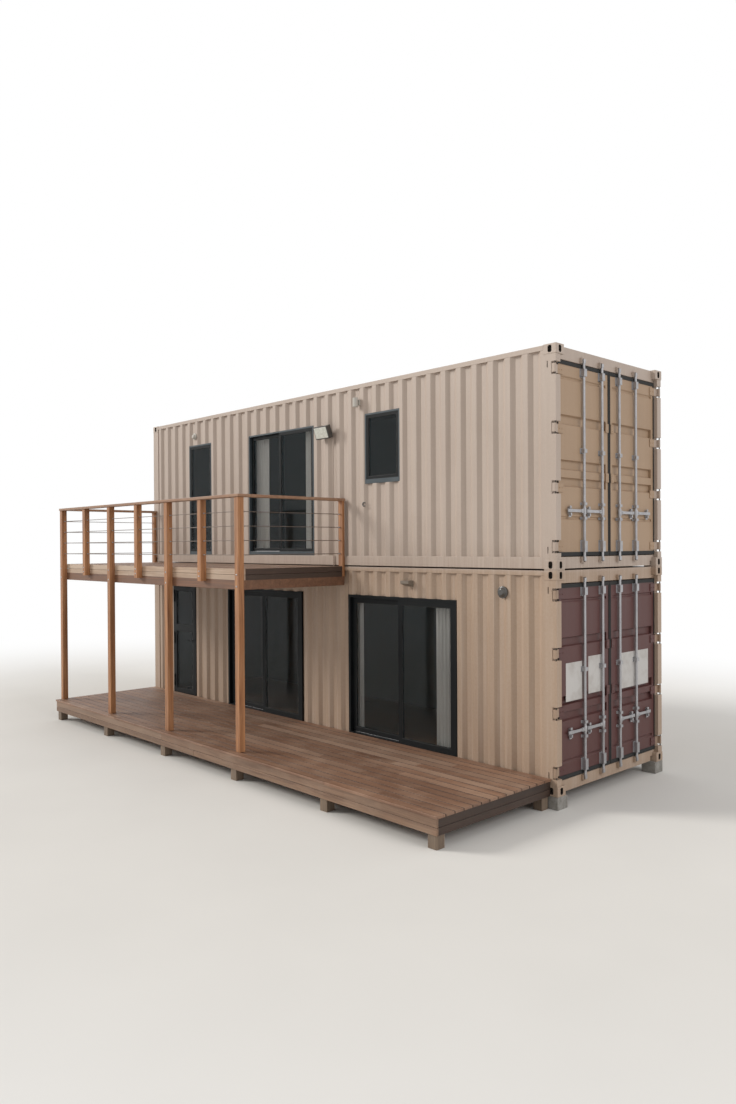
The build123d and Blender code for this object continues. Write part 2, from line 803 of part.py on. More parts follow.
def curtains(base, span, high, gathers):
    """A rail over one opening and a gathered curtain hanging at each end of it."""
    x = span_x(span)
    rail_z = base + high + curtain_rail_rise
    rail = block(x, (y_lining[1], y_lining[1] + curtain_rail_depth), (rail_z, rail_z + curtain_rail_height))
    y = (y_lining[1] + curtain_rail_depth - curtain_depth, y_lining[1] + curtain_rail_depth)
    z = (base + bottom_rail_top + curtain_drop, rail_z)
    right, left = gathers
    return rail, [block((x[0], x[0] + left), y, z), block((x[1] - right, x[1]), y, z)]


def lamp_dome(place, radius):
    """A wall lamp: a round plate and a domed glass on it."""
    x = from_door(place[0])
    z = lower_base + place[1]
    wall = y_front + casting_proud
    front = wall - lamp_plate_thickness
    plate = bar_along((x, wall, z), (x, front, z), radius, lamp_sides)
    face = Plane(origin=(x, front, z), x_dir=(1, 0, 0), z_dir=(0, -1, 0))
    rim = face * RegularPolygon(radius * lamp_glass_share, lamp_sides)
    crown = face.offset(radius / 2) * RegularPolygon(radius * lamp_crown_share, lamp_sides)
    return plate + loft([rim, crown], ruled=True)


def flood_lamp():
    """A tilted flood lamp on a bracket that reaches back to the wall."""
    x = from_door(flood_lamp_place[0])
    z = lower_base + flood_lamp_place[1]
    wide, deep, tall = flood_lamp_size
    head = Pos(x, y_front - flood_bracket - deep / 2, z) * Rot(flood_lamp_tilt, 0, 0) * Box(wide, deep, tall)
    arm_y = (y_front - flood_bracket - deep / 2, y_front + casting_proud)
    bracket = block((x - wide / 6, x + wide / 6), arm_y, (z - tall / 6, z + tall / 6))
    return head + bracket


def spot_lamp():
    """A short upright can lamp on a small plate."""
    x = from_door(spot_lamp_place[0])
    z = lower_base + spot_lamp_place[1]
    radius = spot_lamp_radius
    plate_y = (y_front + casting_proud - lamp_plate_thickness, y_front + casting_proud)
    plate = block((x - radius, x + radius), plate_y, (z - radius, z + radius))
    can_z = (z - spot_lamp_height / 2, z + spot_lamp_height / 2)
    can = bar_z(x, plate_y[0] - radius * cos(pi / lamp_sides), can_z, radius, lamp_sides)
    return plate + can


def door_lamp():
    """A wedge-shaped wall lamp over the main sliding door, its underside sloping back to the wall."""
    x = from_door(door_lamp_place[0])
    z = lower_base + door_lamp_place[1]
    wide, deep, tall = door_lamp_size
    y = y_front + casting_proud
    side = Polyline((y, z + tall / 2), (y - deep, z + tall / 2), (y - deep, z), (y, z - tall / 2), close=True)
    outline = make_face(Plane.YZ * side)
    return Pos(x - wide / 2, 0, 0) * extrude(outline, wide, (1, 0, 0))


def wall_hook():
    """An open ring of plain bar on the wall."""
    x = from_door(hook_place[0])
    z = lower_base + hook_place[1]
    wall = Plane(origin=(x, y_front + casting_proud, z), x_dir=(1, 0, 0), z_dir=(0, -1, 0))
    outline = RegularPolygon(hook_radius + hook_bar, hook_sides)
    outline -= RegularPolygon(hook_radius - hook_bar, hook_sides)
    ring = extrude(wall * outline, 2 * hook_bar)
    mouth = block((x, x + 2 * hook_radius), (y_front - hook_radius, y_front + hook_radius),
                  (z - hook_radius / 2, z + hook_radius / 2))
    return ring - mouth


def rows(start, end, spacing):
    """Evenly spread places between two ends, no further apart than the spacing."""
    bays = ceil((end - start) / spacing)
    return [start + (end - start) * bay / bays for bay in range(bays + 1)]


front_spans = {
    "lower": (hinged_door_span, wide_slider_span, main_slider_span),
    "upper": (balcony_door_span, balcony_slider_span, window_span),
}
lower_sheet = side_wall(lower_base, -1)
upper_sheet = side_wall(upper_base, -1)
parts = {}

# Frames of the two containers
footing_x = ((x_blind, x_blind + footing_size), (x_door - footing_size, x_door))
footing_y = ((y_front, y_front + footing_size), (y_back - footing_size, y_back))
parts["footings"] = [block(x, y, (0, footing_height)) for x in footing_x for y in footing_y]
parts["corner_castings"] = [corner_casting(*place) for base in bases for place in casting_centres(base)]
parts["corner_posts"] = [
    post(base, side) for base in bases for side in (-1, 1) for post in (blind_post, door_post)
]
parts["frame_rails"] = [rail for base in bases for rail in side_rails(base) + end_beams(base)]
parts["container_floors"] = [floor(base) for base in bases]
parts["floor_cross_members"] = [member for base in bases for member in cross_members(base)]

# Corrugated walls and roofs
parts["back_walls"] = [side_wall(base, 1) for base in bases]
parts["blind_end_walls"] = [blind_end_wall(base) for base in bases]
parts["container_roofs"] = [roof(base) for base in bases]
parts["lower_front_wall"] = wall_panels(lower_sheet, lower_base, front_spans["lower"])
parts["upper_front_wall"] = wall_panels(upper_sheet, upper_base, front_spans["upper"])
parts["walls_over_openings"] = [
    wall_between(lower_sheet, lower_base, span, lower_head, rail_foot) for span in front_spans["lower"]
] + [
    wall_between(upper_sheet, upper_base, balcony_door_span, upper_head, rail_foot),
    wall_between(upper_sheet, upper_base, balcony_slider_span, upper_head, rail_foot),
    wall_between(upper_sheet, upper_base, window_span, window_head, rail_foot),
    wall_between(upper_sheet, upper_base, window_span, bottom_rail_top, window_foot),
]

# Lining and ceilings
parts["wall_lining"] = linings(lower_base, front_spans["lower"]) + linings(upper_base, front_spans["upper"])
parts["lining_over_openings"] = [
    span_box(span, y_lining, (lower_base + lower_head, lower_base + lining_top))
    for span in front_spans["lower"]
] + [
    span_box(balcony_door_span, y_lining, (upper_base + upper_head, upper_base + lining_top)),
    span_box(balcony_slider_span, y_lining, (upper_base + upper_head, upper_base + lining_top)),
    span_box(window_span, y_lining, (upper_base + window_head, upper_base + lining_top)),
    span_box(window_span, y_lining, (upper_base + bottom_rail_top, upper_base + window_foot)),
]
parts["ceilings"] = [ceiling(base) for base in bases]

# Door and window frames
frames = [frame_members(lower_base, span, bottom_rail_top, lower_head) for span in front_spans["lower"]]
frames += [frame_members(upper_base, span, bottom_rail_top, upper_head)
           for span in (balcony_door_span, balcony_slider_span)]
frames.append(frame_members(upper_base, window_span, window_foot, window_head))
wide_track, wide_fixed, wide_moving = slider(lower_base, wide_slider_span, lower_head)
main_track, main_fixed, main_moving = slider(lower_base, main_slider_span, lower_head)
upper_track, upper_fixed, upper_moving = slider(upper_base, balcony_slider_span, upper_head)
door_x, door_z = clear_opening(upper_base, balcony_door_span, bottom_rail_top, upper_head)
window_x, window_z = clear_opening(upper_base, window_span, window_foot, window_head)
sash_y = (y_frame[0] + outer_track, y_frame[0] + outer_track + sash_depth)
balcony_door = sash(door_x, sash_y, door_z, upper_sash_face)
window = sash(window_x, sash_y, window_z, upper_sash_face)
fixed = [wide_fixed, main_fixed, upper_fixed, upper_moving, balcony_door, window]
jamb_hinges, leaf_hinges = butt_hinges(lower_base, hinged_door_span)
parts["door_jambs"] = [jamb for jambs, _, _ in frames for jamb in jambs]
parts["door_heads_and_sills"] = [member for _, head, sill in frames for member in (head, sill)]
parts["sliding_tracks"] = [wide_track, main_track, upper_track]
parts["jamb_hinges"] = jamb_hinges
parts["fixed_sashes"] = [frame for frame, _ in fixed]
parts["fixed_glass"] = [pane for _, panes in fixed for pane in panes]

# Doors of the front wall that move
hinged_frame, hinged_panes = hinged_leaf(lower_base, hinged_door_span, lower_head)
for knuckle in leaf_hinges:
    hinged_frame += knuckle
parts["hinged_door_leaf"] = [hinged_frame]
parts["hinged_door_glass"] = hinged_panes
parts["wide_slider_leaf"] = [wide_moving[0]]
parts["wide_slider_glass"] = wide_moving[1]
parts["main_slider_leaf"] = [main_moving[0]]
parts["main_slider_glass"] = main_moving[1]

# Cargo doors: the upper pair stays shut, the lower pair opens
parts["hinge_pins"] = [pin for base in bases for side in (-1, 1) for pin in hinge_pins(base, side)]
parts["rod_keepers"] = [keeper for base in bases for side in (-1, 1) for keeper in keepers(base, side)]
parts["upper_cargo_leaves"] = [cargo_leaf(upper_base, side, upper_bands) for side in (-1, 1)]
parts["upper_door_gaskets"] = [strip for side in (-1, 1) for strip in gasket(upper_base, side)]
parts["upper_lock_rods"] = [lock_rod(upper_base, y, side) for side in (-1, 1) for y in rod_places(side)]
parts["upper_door_fittings"] = [piece for side in (-1, 1) for piece in leaf_fittings(upper_base, side)]
for name, side in (("front", -1), ("back", 1)):
    inner, outer = rod_places(side)
    parts[f"{name}_cargo_leaf"] = [cargo_leaf(lower_base, side, lower_bands)]
    parts[f"{name}_cargo_gasket"] = gasket(lower_base, side)
    parts[f"{name}_door_fittings"] = leaf_fittings(lower_base, side)
    parts[f"{name}_inner_rod"] = [lock_rod(lower_base, inner, side)]
    parts[f"{name}_outer_rod"] = [lock_rod(lower_base, outer, side)]

# Deck
deck_x = (x_blind, from_door(deck_end_inset))
deck_y = (y_edge, y_front)
deck_frame_x = (deck_x[0] + deck_overhang, deck_x[1] - deck_overhang)
deck_frame_y = (deck_y[0] + deck_overhang, deck_y[1])
deck_frame_z = (lower_base, deck_top - deck_board)
inner_y = deck_frame_y[0] + fascia_thickness
inner_x = (deck_frame_x[0] + fascia_thickness, deck_frame_x[1] - fascia_thickness)
end_y = (inner_y + lining_gap, deck_y[1])
parts["deck_boards"] = [block(deck_x, deck_y, (deck_top - deck_board, deck_top))]
deck_fascia = [
    block(deck_frame_x, (deck_frame_y[0], inner_y), deck_frame_z),
    block((deck_frame_x[0], inner_x[0]), end_y, deck_frame_z),
    block((inner_x[1], deck_frame_x[1]), end_y, deck_frame_z),
]
ledger_y = (deck_y[1] - joist_width, deck_y[1])
joist_ends = (inner_x[0] + joist_width, inner_x[1] - joist_width)
half_joist = joist_width / 2
deck_joists = [
    block((x - half_joist, x + half_joist), (inner_y, ledger_y[0] - lining_gap), deck_frame_z)
    for x in rows(joist_ends[0], joist_ends[1], joist_spacing)
]
deck_ledger = block(inner_x, ledger_y, deck_frame_z)

# Balcony
balcony_x = (x_blind, x_blind + balcony_length)
first_post = balcony_x[0] + post_size / 2
bay = (balcony_x[1] - balcony_x[0] - post_size) / post_bays
half_post = post_size / 2
post_places = [first_post + bay * place for place in range(post_bays + 1)]
short_places = [first_post + bay * (place + 0.5) for place in range(post_bays)]
rail_z = (lower_base + handrail_top - handrail_thickness, lower_base + handrail_top)
slab_top = lower_base + balcony_top
fascia_z = (lower_base + balcony_fascia_foot, slab_top)
joist_z = (fascia_z[0], slab_top - balcony_board)
beam_z = (lower_base + balcony_beam_foot, fascia_z[0])
wall_post_y = (deck_y[1] - wall_post_depth, deck_y[1])
wall_posts = [
    block((x - half_post, x + half_post), wall_post_y, (fascia_z[0], rail_z[0]))
    for x in (post_places[0], post_places[-1])
]
edge_x = (balcony_x[0] + balcony_fascia_inset, balcony_x[1] - balcony_fascia_inset)
slab_y = y_post[1] + fascia_thickness
post_z = (deck_top, rail_z[0])
short_post_z = (fascia_z[0] - short_post_drop, rail_z[0])
parts["balcony_posts"] = wall_posts + [
    block((x - half_post, x + half_post), y_post, z)
    for places, z in ((post_places, post_z), (short_places, short_post_z)) for x in places
]
slab_x = (edge_x[0] + fascia_thickness, edge_x[1] - fascia_thickness)
slab = block(slab_x, (slab_y, deck_y[1]), (joist_z[1], slab_top))
for post in wall_posts:
    slab -= post
parts["balcony_boards"] = [slab]
parts["timber_fascias"] = deck_fascia + [
    block(edge_x, (y_post[1], slab_y), fascia_z),
    block((edge_x[0], edge_x[0] + fascia_thickness), (slab_y + lining_gap, wall_post_y[0]), fascia_z),
    block((edge_x[1] - fascia_thickness, edge_x[1]), (slab_y + lining_gap, wall_post_y[0]), fascia_z),
]
side_beam_y = (y_post[1] + beam_thickness + lining_gap, deck_y[1])
parts["balcony_beams"] = [
    block(edge_x, (y_post[1], y_post[1] + beam_thickness), beam_z),
    block((edge_x[0], edge_x[0] + beam_thickness), side_beam_y, beam_z),
    block((edge_x[1] - beam_thickness, edge_x[1]), side_beam_y, beam_z),
]
balcony_joist_ends = (post_places[0] + post_size, post_places[-1] - post_size)
balcony_joists = [
    block((x - half_joist, x + half_joist), (slab_y, wall_post_y[0] - lining_gap), joist_z)
    for x in rows(balcony_joist_ends[0], balcony_joist_ends[1], joist_spacing)
]
balcony_ledger = block((post_places[0] + half_post, post_places[-1] - half_post), wall_post_y, joist_z)
parts["timber_joists"] = deck_joists + [deck_ledger] + balcony_joists + [balcony_ledger]
rail_y = y_post[0] - (handrail_width - post_size) / 2
rail_x = (balcony_x[0], balcony_x[1] + (handrail_width - post_size) / 2)
side_rail_y = (rail_y + handrail_width + lining_gap, deck_y[1])
parts["balcony_handrails"] = [
    block(rail_x, (rail_y, rail_y + handrail_width), rail_z),
    block((rail_x[0], rail_x[0] + handrail_width), side_rail_y, rail_z),
    block((rail_x[1] - handrail_width, rail_x[1]), side_rail_y, rail_z),
]
cables = []
all_posts = sorted(post_places + short_places)
for row in range(1, cable_count + 1):
    z = rail_z[0] - cable_spacing * row
    y = y_post[0] + half_post
    for low, high in zip(all_posts[:-1], all_posts[1:]):
        cables.append(bar_along((low + half_post, y, z), (high - half_post, y, z), cable_radius, cable_sides))
    for x in (post_places[0], post_places[-1]):
        cables.append(bar_along((x, y_post[1], z), (x, wall_post_y[0], z), cable_radius, cable_sides))
parts["balcony_cables"] = cables

# Feet under the deck, in a row below the posts and one beside the wall
foot_x = post_places + [post_places[-1] + bay, deck_frame_x[1] - foot_size / 2 - foot_inset]
foot_x[0] = deck_frame_x[0] + foot_size / 2 + foot_inset
half_foot = foot_size / 2
parts["deck_feet"] = [
    block((x - half_foot, x + half_foot), (y - half_foot, y + half_foot), (0, lower_base))
    for x in foot_x for y in (deck_frame_y[0] + half_foot + foot_inset, deck_y[1] - half_foot - foot_inset)
]

# Lamps and small fittings
flood_x = from_door(flood_lamp_place[0])
conduit_x = from_door(conduit_place)
conduit_y = deck_y[1] - conduit_radius - conduit_gap
conduit_head = lower_base + flood_lamp_place[1] - flood_lamp_size[2] / 2
parts["wall_lamps"] = [
    lamp_dome(round_lamp_place, round_lamp_radius),
    lamp_dome(dome_lamp_place, dome_lamp_radius),
    spot_lamp(),
    door_lamp(),
    flood_lamp(),
]
conduit = bar_z(conduit_x, conduit_y, (slab_top, conduit_head), conduit_radius)
parts["wall_fittings"] = [conduit, wall_hook()]

# Curtains and a rolled blind
soft = [
    curtains(lower_base, main_slider_span, lower_head, lower_gathers),
    curtains(upper_base, balcony_slider_span, upper_head, upper_gathers),
]
blind_z = upper_base + window_head + curtain_rail_rise
blind_rail = span_box(window_span, (y_lining[1], y_lining[1] + curtain_rail_depth),
                      (blind_z, blind_z + curtain_rail_height))
parts["curtain_rails"] = [rail for rail, _ in soft] + [blind_rail]
parts["curtains"] = [curtain for _, pair in soft for curtain in pair]

os.makedirs("parts", exist_ok=True)
for name, solids in parts.items():
    export_step(Compound(children=list(solids)), f"parts/{name}.step")
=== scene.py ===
import json
import math
import random

import bmesh
import bpy
import numpy as np
from mathutils import Matrix, Vector


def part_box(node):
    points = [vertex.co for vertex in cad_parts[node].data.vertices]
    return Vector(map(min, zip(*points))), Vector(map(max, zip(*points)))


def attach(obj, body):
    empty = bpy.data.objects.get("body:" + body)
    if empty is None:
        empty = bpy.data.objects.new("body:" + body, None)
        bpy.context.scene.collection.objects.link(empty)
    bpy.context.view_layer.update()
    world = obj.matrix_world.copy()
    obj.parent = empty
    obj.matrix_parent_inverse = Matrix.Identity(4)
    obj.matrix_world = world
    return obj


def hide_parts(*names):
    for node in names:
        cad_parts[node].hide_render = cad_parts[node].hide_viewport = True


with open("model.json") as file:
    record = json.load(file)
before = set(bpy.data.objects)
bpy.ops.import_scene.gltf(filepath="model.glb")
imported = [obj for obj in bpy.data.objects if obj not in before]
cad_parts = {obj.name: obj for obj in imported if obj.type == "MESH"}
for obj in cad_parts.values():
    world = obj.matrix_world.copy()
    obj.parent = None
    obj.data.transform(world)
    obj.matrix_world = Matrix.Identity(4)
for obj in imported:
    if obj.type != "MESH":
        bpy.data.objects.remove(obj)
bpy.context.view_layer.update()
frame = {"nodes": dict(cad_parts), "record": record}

# Metres in the row frame: +X points to the cargo doors, -Y to the deck, +Z up
rng = random.Random(7)
leaf_low, leaf_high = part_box("upper_cargo_leaves")
leaf_middle = (leaf_low.y + leaf_high.y) / 2
leaf_half = (leaf_high.y - leaf_low.y) / 2

# Heights between which the lower container's paint gives way to the upper one's, and over which all is upper
paint_change = (2.70, 2.76)
upper_storey = 2.8
# Heights between which the paint darkens to full: towards the ground, and as painted shade at the upper foot and
# under the lower eaves
darker_to_ground = (0.62, 0.16)
foot_shade = (3.10, 2.78), (2.62, 2.74)
eaves_shade = (2.42, 2.66), (2.74, 2.70)


# ---------------------------------------------------------------- node helpers
materials = {}


class Finish:
    """A Principled material with short ways to add nodes, kept in materials under its name."""

    def __init__(self, name, color, rough, metal=0.0, **sockets):
        self.mat = materials[name] = bpy.data.materials.new(name)
        self.mat.use_nodes = True
        self.mat.diffuse_color = (*color, 1)
        self.tree = self.mat.node_tree
        self.tree.nodes.clear()
        self.out = self.node("ShaderNodeOutputMaterial")
        self.bsdf = self.node("ShaderNodeBsdfPrincipled")
        self.join(self.bsdf.outputs[0], self.out.inputs["Surface"])
        self.bsdf.inputs["Base Color"].default_value = (*color, 1)
        self.bsdf.inputs["Roughness"].default_value = rough
        self.bsdf.inputs["Metallic"].default_value = metal
        for key, value in sockets.items():
            self.bsdf.inputs[key.replace("_", " ")].default_value = value
        self.spot = self.node("ShaderNodeTexCoord").outputs["Object"]

    def node(self, kind, **props):
        n = self.tree.nodes.new(kind)
        for key, value in props.items():
            setattr(n, key, value)
        return n

    def join(self, a, b):
        self.tree.links.new(a, b)

    def place(self, scale=(1, 1, 1)):
        """Coordinates of the row frame, stretched."""
        n = self.node("ShaderNodeMapping")
        n.inputs["Scale"].default_value = scale
        self.join(self.spot, n.inputs["Vector"])
        return n.outputs[0]

    def axis(self, name):
        """One coordinate of the row frame, in metres."""
        n = self.node("ShaderNodeSeparateXYZ")
        self.join(self.spot, n.inputs[0])
        return n.outputs[name]

    def carried(self, name):
        """A number that the vertices carry."""
        return self.node("ShaderNodeAttribute", attribute_name=name).outputs["Fac"]

    def noise(self, scale, vector=None, detail=4.0, rough=0.55, warp=0.0):
        n = self.node("ShaderNodeTexNoise")
        n.inputs["Scale"].default_value = scale
        n.inputs["Detail"].default_value = detail
        n.inputs["Roughness"].default_value = rough
        n.inputs["Distortion"].default_value = warp
        self.join(self.place() if vector is None else vector, n.inputs["Vector"])
        return n.outputs["Fac"]

    def cells(self, scale):
        n = self.node("ShaderNodeTexVoronoi")
        n.inputs["Scale"].default_value = scale
        self.join(self.place(), n.inputs["Vector"])
        return n.outputs["Distance"]

    def threads(self, direction, scale):
        """Fine parallel bands across one direction."""
        n = self.node("ShaderNodeTexWave", bands_direction=direction)
        n.inputs["Scale"].default_value = scale
        self.join(self.place(), n.inputs["Vector"])
        return n.outputs["Fac"]

    def span(self, value, a, b, lo=0.0, hi=1.0):
        """From lo to hi as the value goes from a to b."""
        n = self.node("ShaderNodeMapRange", clamp=True)
        for key, v in (("From Min", a), ("From Max", b), ("To Min", lo), ("To Max", hi)):
            n.inputs[key].default_value = v
        self.join(value, n.inputs["Value"])
        return n.outputs[0]

    def math(self, kind, a, b=None):
        n = self.node("ShaderNodeMath", operation=kind)
        for i, v in enumerate((a, b)):
            if v is None:
                continue
            if isinstance(v, (int, float)):
                n.inputs[i].default_value = v
            else:
                self.join(v, n.inputs[i])
        return n.outputs[0]

    def mix(self, fac, a, b):
        """Colour a, taken over by b as fac rises; 0, 6 and 7 are the colour kind's own sockets."""
        n = self.node("ShaderNodeMix", data_type="RGBA")
        for sock, v in ((n.inputs[0], fac), (n.inputs[6], a), (n.inputs[7], b)):
            if hasattr(v, "is_output"):
                self.join(v, sock)
            else:
                sock.default_value = (*v, 1)
        return n.outputs[2]

    def color(self, value):
        self.join(value, self.bsdf.inputs["Base Color"])

    def rough(self, value):
        self.join(value, self.bsdf.inputs["Roughness"])

    def bump(self, value, strength, distance):
        n = self.node("ShaderNodeBump")
        n.inputs["Strength"].default_value = strength
        n.inputs["Distance"].default_value = distance
        self.join(value, n.inputs["Height"])
        self.join(n.outputs[0], self.bsdf.inputs["Normal"])


def srgb(r, g, b):
    """A linear colour from sRGB values of 0 to 255."""
    return tuple((c / 255 / 12.92) if c <= 10 else ((c / 255 + 0.055) / 1.055) ** 2.4 for c in (r, g, b))


def dimmed(color, share):
    return tuple(c * share for c in color)


def drawn_out(along, slow, fast):
    """Texture scales that draw a pattern out along one axis."""
    return tuple(slow if axis == along else fast for axis in "xyz")


# ---------------------------------------------------------------- materials
def paint(name, face, pale, dirt_and_shade, rust, low_face=None, post_face=None):
    """Old satin paint: faded streaks, darker towards the ground, painted shade where the storeys meet, small rust
    chips and a fine orange peel.

    The lower storey takes low_face, and what stands beside the cargo leaves takes post_face.
    """
    streaked, blotched, run_down, darkening, chipped, speckled = 0.2, 0.16, 0.14, 0.4, 0.7, 0.1
    f = Finish(name, face, 0.5, Coat_Weight=0.08, Coat_Roughness=0.4)
    level = f.axis("Z")
    if low_face:
        face = f.mix(f.span(level, *paint_change), low_face, face)
    if post_face:
        from_middle = f.math("ABSOLUTE", f.math("SUBTRACT", f.axis("Y"), leaf_middle))
        face = f.mix(f.span(from_middle, leaf_half, leaf_half + 0.002), face, post_face)
    streaks = f.noise(1.0, f.place(drawn_out("z", 0.35, 13)), 5, 0.6)
    runs = f.noise(1.0, f.place(drawn_out("z", 0.3, 34)), 4, 0.65)
    patches = f.noise(0.9, warp=0.3)
    fine = f.noise(38.0, detail=3)
    base = f.mix(f.span(streaks, 0.46, 0.66, 0.0, streaked), face, pale)
    base = f.mix(f.span(patches, 0.42, 0.72, 0.0, blotched), base, dirt_and_shade)
    base = f.mix(f.span(runs, 0.64, 0.78, 0.0, run_down), base, dirt_and_shade)
    # Darker towards the ground, and painted shade in bands at the seam between the storeys, broken up by the runs
    edge = f.span(level, *darker_to_ground)
    for over, under in (foot_shade, eaves_shade):
        edge = f.math("MAXIMUM", edge, f.math("MULTIPLY", f.span(level, *over), f.span(level, *under)))
    base = f.mix(f.math("MULTIPLY", edge, f.span(runs, 0.35, 0.65, 0.0, darkening)), base, dirt_and_shade)
    flakes = f.span(f.noise(17.0, detail=6, rough=0.7), 0.70, 0.73)
    chips = f.math("MULTIPLY", flakes, f.span(patches, 0.45, 0.6))
    base = f.mix(f.math("MULTIPLY", chips, chipped), base, rust)
    base = f.mix(f.span(fine, 0.3, 0.7, 0.0, speckled), base, pale)
    f.color(base)
    f.rough(f.span(streaks, 0.2, 0.8, 0.42, 0.62))
    peel = f.math("ADD", f.math("MULTIPLY", f.noise(220.0, detail=2), 0.3), f.noise(6.0))
    f.bump(f.math("SUBTRACT", peel, f.math("MULTIPLY", chips, 1.5)), 0.16, 0.004)


def timber(name, pale, dark, weather, along="x", rough=0.55, tone=True, grey=0.25):
    """Oiled wood: long grain, rings, pores and grey patches; with tone, a shade of its own for each board."""
    f = Finish(name, dark, rough, Coat_Weight=0.05, Coat_Roughness=0.5)
    grain = f.place(drawn_out(along, 0.9, 22))
    if tone:
        jump = f.node("ShaderNodeCombineXYZ")
        f.join(f.math("MULTIPLY", f.carried("tone"), 37.0), jump.inputs[0])
        f.join(f.math("MULTIPLY", f.carried("tone"), 19.0), jump.inputs[1])
        moved = f.node("ShaderNodeVectorMath", operation="ADD")
        f.join(grain, moved.inputs[0])
        f.join(jump.outputs[0], moved.inputs[1])
        grain = moved.outputs[0]
    rings = f.noise(1.0, grain, 5, 0.6, 0.8)
    pores = f.noise(1.0, f.place(drawn_out(along, 5, 260)), 2, 0.6)
    base = f.mix(f.span(rings, 0.32, 0.7), dark, pale)
    base = f.mix(f.span(pores, 0.52, 0.72, 0.0, 0.45), base, dimmed(dark, 0.45))
    if tone:
        base = f.mix(f.span(f.carried("tone"), 0.0, 1.0, 0.0, 0.5), base, dimmed(dark, 0.7))
        base = f.mix(f.span(f.carried("bleach"), 0.5, 1.0, 0.0, 0.45), base, weather)
    base = f.mix(f.span(f.noise(2.3), 0.45, 0.7, 0.0, grey), base, weather)
    f.color(base)
    f.rough(f.span(rings, 0.3, 0.7, rough - 0.08, rough + 0.12))
    f.bump(f.math("ADD", rings, f.math("MULTIPLY", pores, 0.7)), 0.35, 0.0015)


def metal(name, face, dull, rough=0.45, amount=1.0, worn=(0.30, 0.20, 0.13)):
    """Bare or galvanised metal with a soft spangle, dull patches and a little rust."""
    f = Finish(name, face, rough, amount)
    cloud = f.noise(9.0, detail=5)
    base = f.mix(f.span(f.cells(81.0), 0.1, 0.8, 0.0, 0.5), face, dull)
    base = f.mix(f.span(cloud, 0.45, 0.75, 0.0, 0.5), base, dull)
    rusty = f.noise(21.6, detail=6, rough=0.7)
    f.color(f.mix(f.span(rusty, 0.66, 0.74, 0.0, 0.55), base, worn))
    f.rough(f.span(cloud, 0.3, 0.7, rough - 0.1, rough + 0.15))
    f.bump(f.noise(198.0, detail=3), 0.12, 0.001)


def coated(name, face, worn, rough=0.4, grain=420.0, coat=0.0, level=0.5):
    """Powder coat, enamel, rubber or plastic: a fine grain, dust and faint rubbed places."""
    f = Finish(name, face, rough, Coat_Weight=coat, Specular_IOR_Level=level)
    cloud = f.noise(5.0, detail=5)
    dust = f.noise(1.0, f.place(drawn_out("z", 3, 30)))
    base = f.mix(f.span(cloud, 0.45, 0.75, 0.0, 0.5), face, worn)
    f.color(f.mix(f.span(dust, 0.6, 0.8, 0.0, 0.35), base, worn))
    f.rough(f.span(cloud, 0.3, 0.7, rough - 0.06, rough + 0.14))
    f.bump(f.noise(grain, detail=2), 0.12, 0.0006)


tan, tan_low = srgb(178, 162, 150), srgb(168, 144, 123)
rust = srgb(112, 66, 42)
leaf_tan = srgb(165, 138, 112), srgb(184, 160, 137), srgb(122, 94, 72)
maroon = srgb(82, 46, 43), srgb(100, 64, 60), srgb(60, 34, 32)
# The third colour of each paint is its dirt, which also gives its painted shade at the seam between the storeys
paint("container_paint", tan, srgb(206, 193, 181), srgb(136, 112, 93), rust, low_face=tan_low)
paint("leaf_paint", *leaf_tan, rust)
paint("maroon_paint", *maroon, rust)
paint("upper_blade_paint", *leaf_tan, rust, post_face=tan)
paint("lower_blade_paint", *maroon, rust, post_face=tan_low)

# Each timber's pale, dark and weathered colour in sRGB, and what else sets it apart
timbers = {
    "deck_timber": ((158, 121, 96), (104, 72, 53), (180, 153, 132), {}),
    # Board faces in the gaps: less weathered wood, made much darker as painted shade
    "board_edge": ((70, 50, 37), (44, 30, 22), (70, 54, 44), dict(grey=0.1, tone=False)),
    "fascia_timber": ((148, 118, 96), (104, 78, 60), (150, 130, 113), dict(grey=0.3)),
    "weathered_timber": ((202, 178, 156), (164, 137, 115), (190, 174, 158), {}),
    # The end fascias: dark timber as painted shade on the ends
    "end_timber": ((74, 54, 42), (48, 34, 27), (76, 62, 52), dict(along="y", grey=0.3)),
    "foot_timber": ((136, 118, 100), (100, 84, 70), (130, 120, 108), dict(along="z", rough=0.7, tone=False)),
    "post_timber": ((188, 134, 90), (130, 84, 52), (158, 126, 100), dict(along="z", tone=False)),
    "rail_timber": ((168, 130, 102), (124, 90, 68), (172, 146, 124), dict(tone=False)),
    "beam_timber": ((128, 90, 66), (92, 62, 44), (118, 94, 78), dict(tone=False)),
    "pale_timber": ((178, 150, 122), (140, 112, 86), (150, 138, 124), dict(along="y", rough=0.7, tone=False)),
    "plywood": ((142, 112, 86), (110, 82, 60), (130, 110, 90), dict(rough=0.35, tone=False)),
}
for name, (pale, dark, weather, apart) in timbers.items():
    timber(name, srgb(*pale), srgb(*dark), srgb(*weather), **apart)

coated("grey_aluminium", (0.050, 0.066, 0.076), (0.090, 0.105, 0.112), 0.38, level=0.35)
coated("black_aluminium", (0.007, 0.0085, 0.0095), (0.014, 0.015, 0.015), 0.45, level=0.15)
metal("bare_aluminium", (0.62, 0.62, 0.63), (0.48, 0.48, 0.49), 0.32, worn=(0.4, 0.4, 0.4))
metal("galvanised_steel", (0.46, 0.455, 0.465), (0.32, 0.315, 0.325), 0.42, 0.8)
metal("bare_steel", (0.42, 0.42, 0.42), (0.30, 0.30, 0.30), 0.35)
metal("dark_steel", (0.045, 0.04, 0.037), (0.08, 0.06, 0.045), 0.6, 0.5)
coated("black_rubber", (0.012, 0.012, 0.012), (0.05, 0.047, 0.043), 0.75, 260.0)
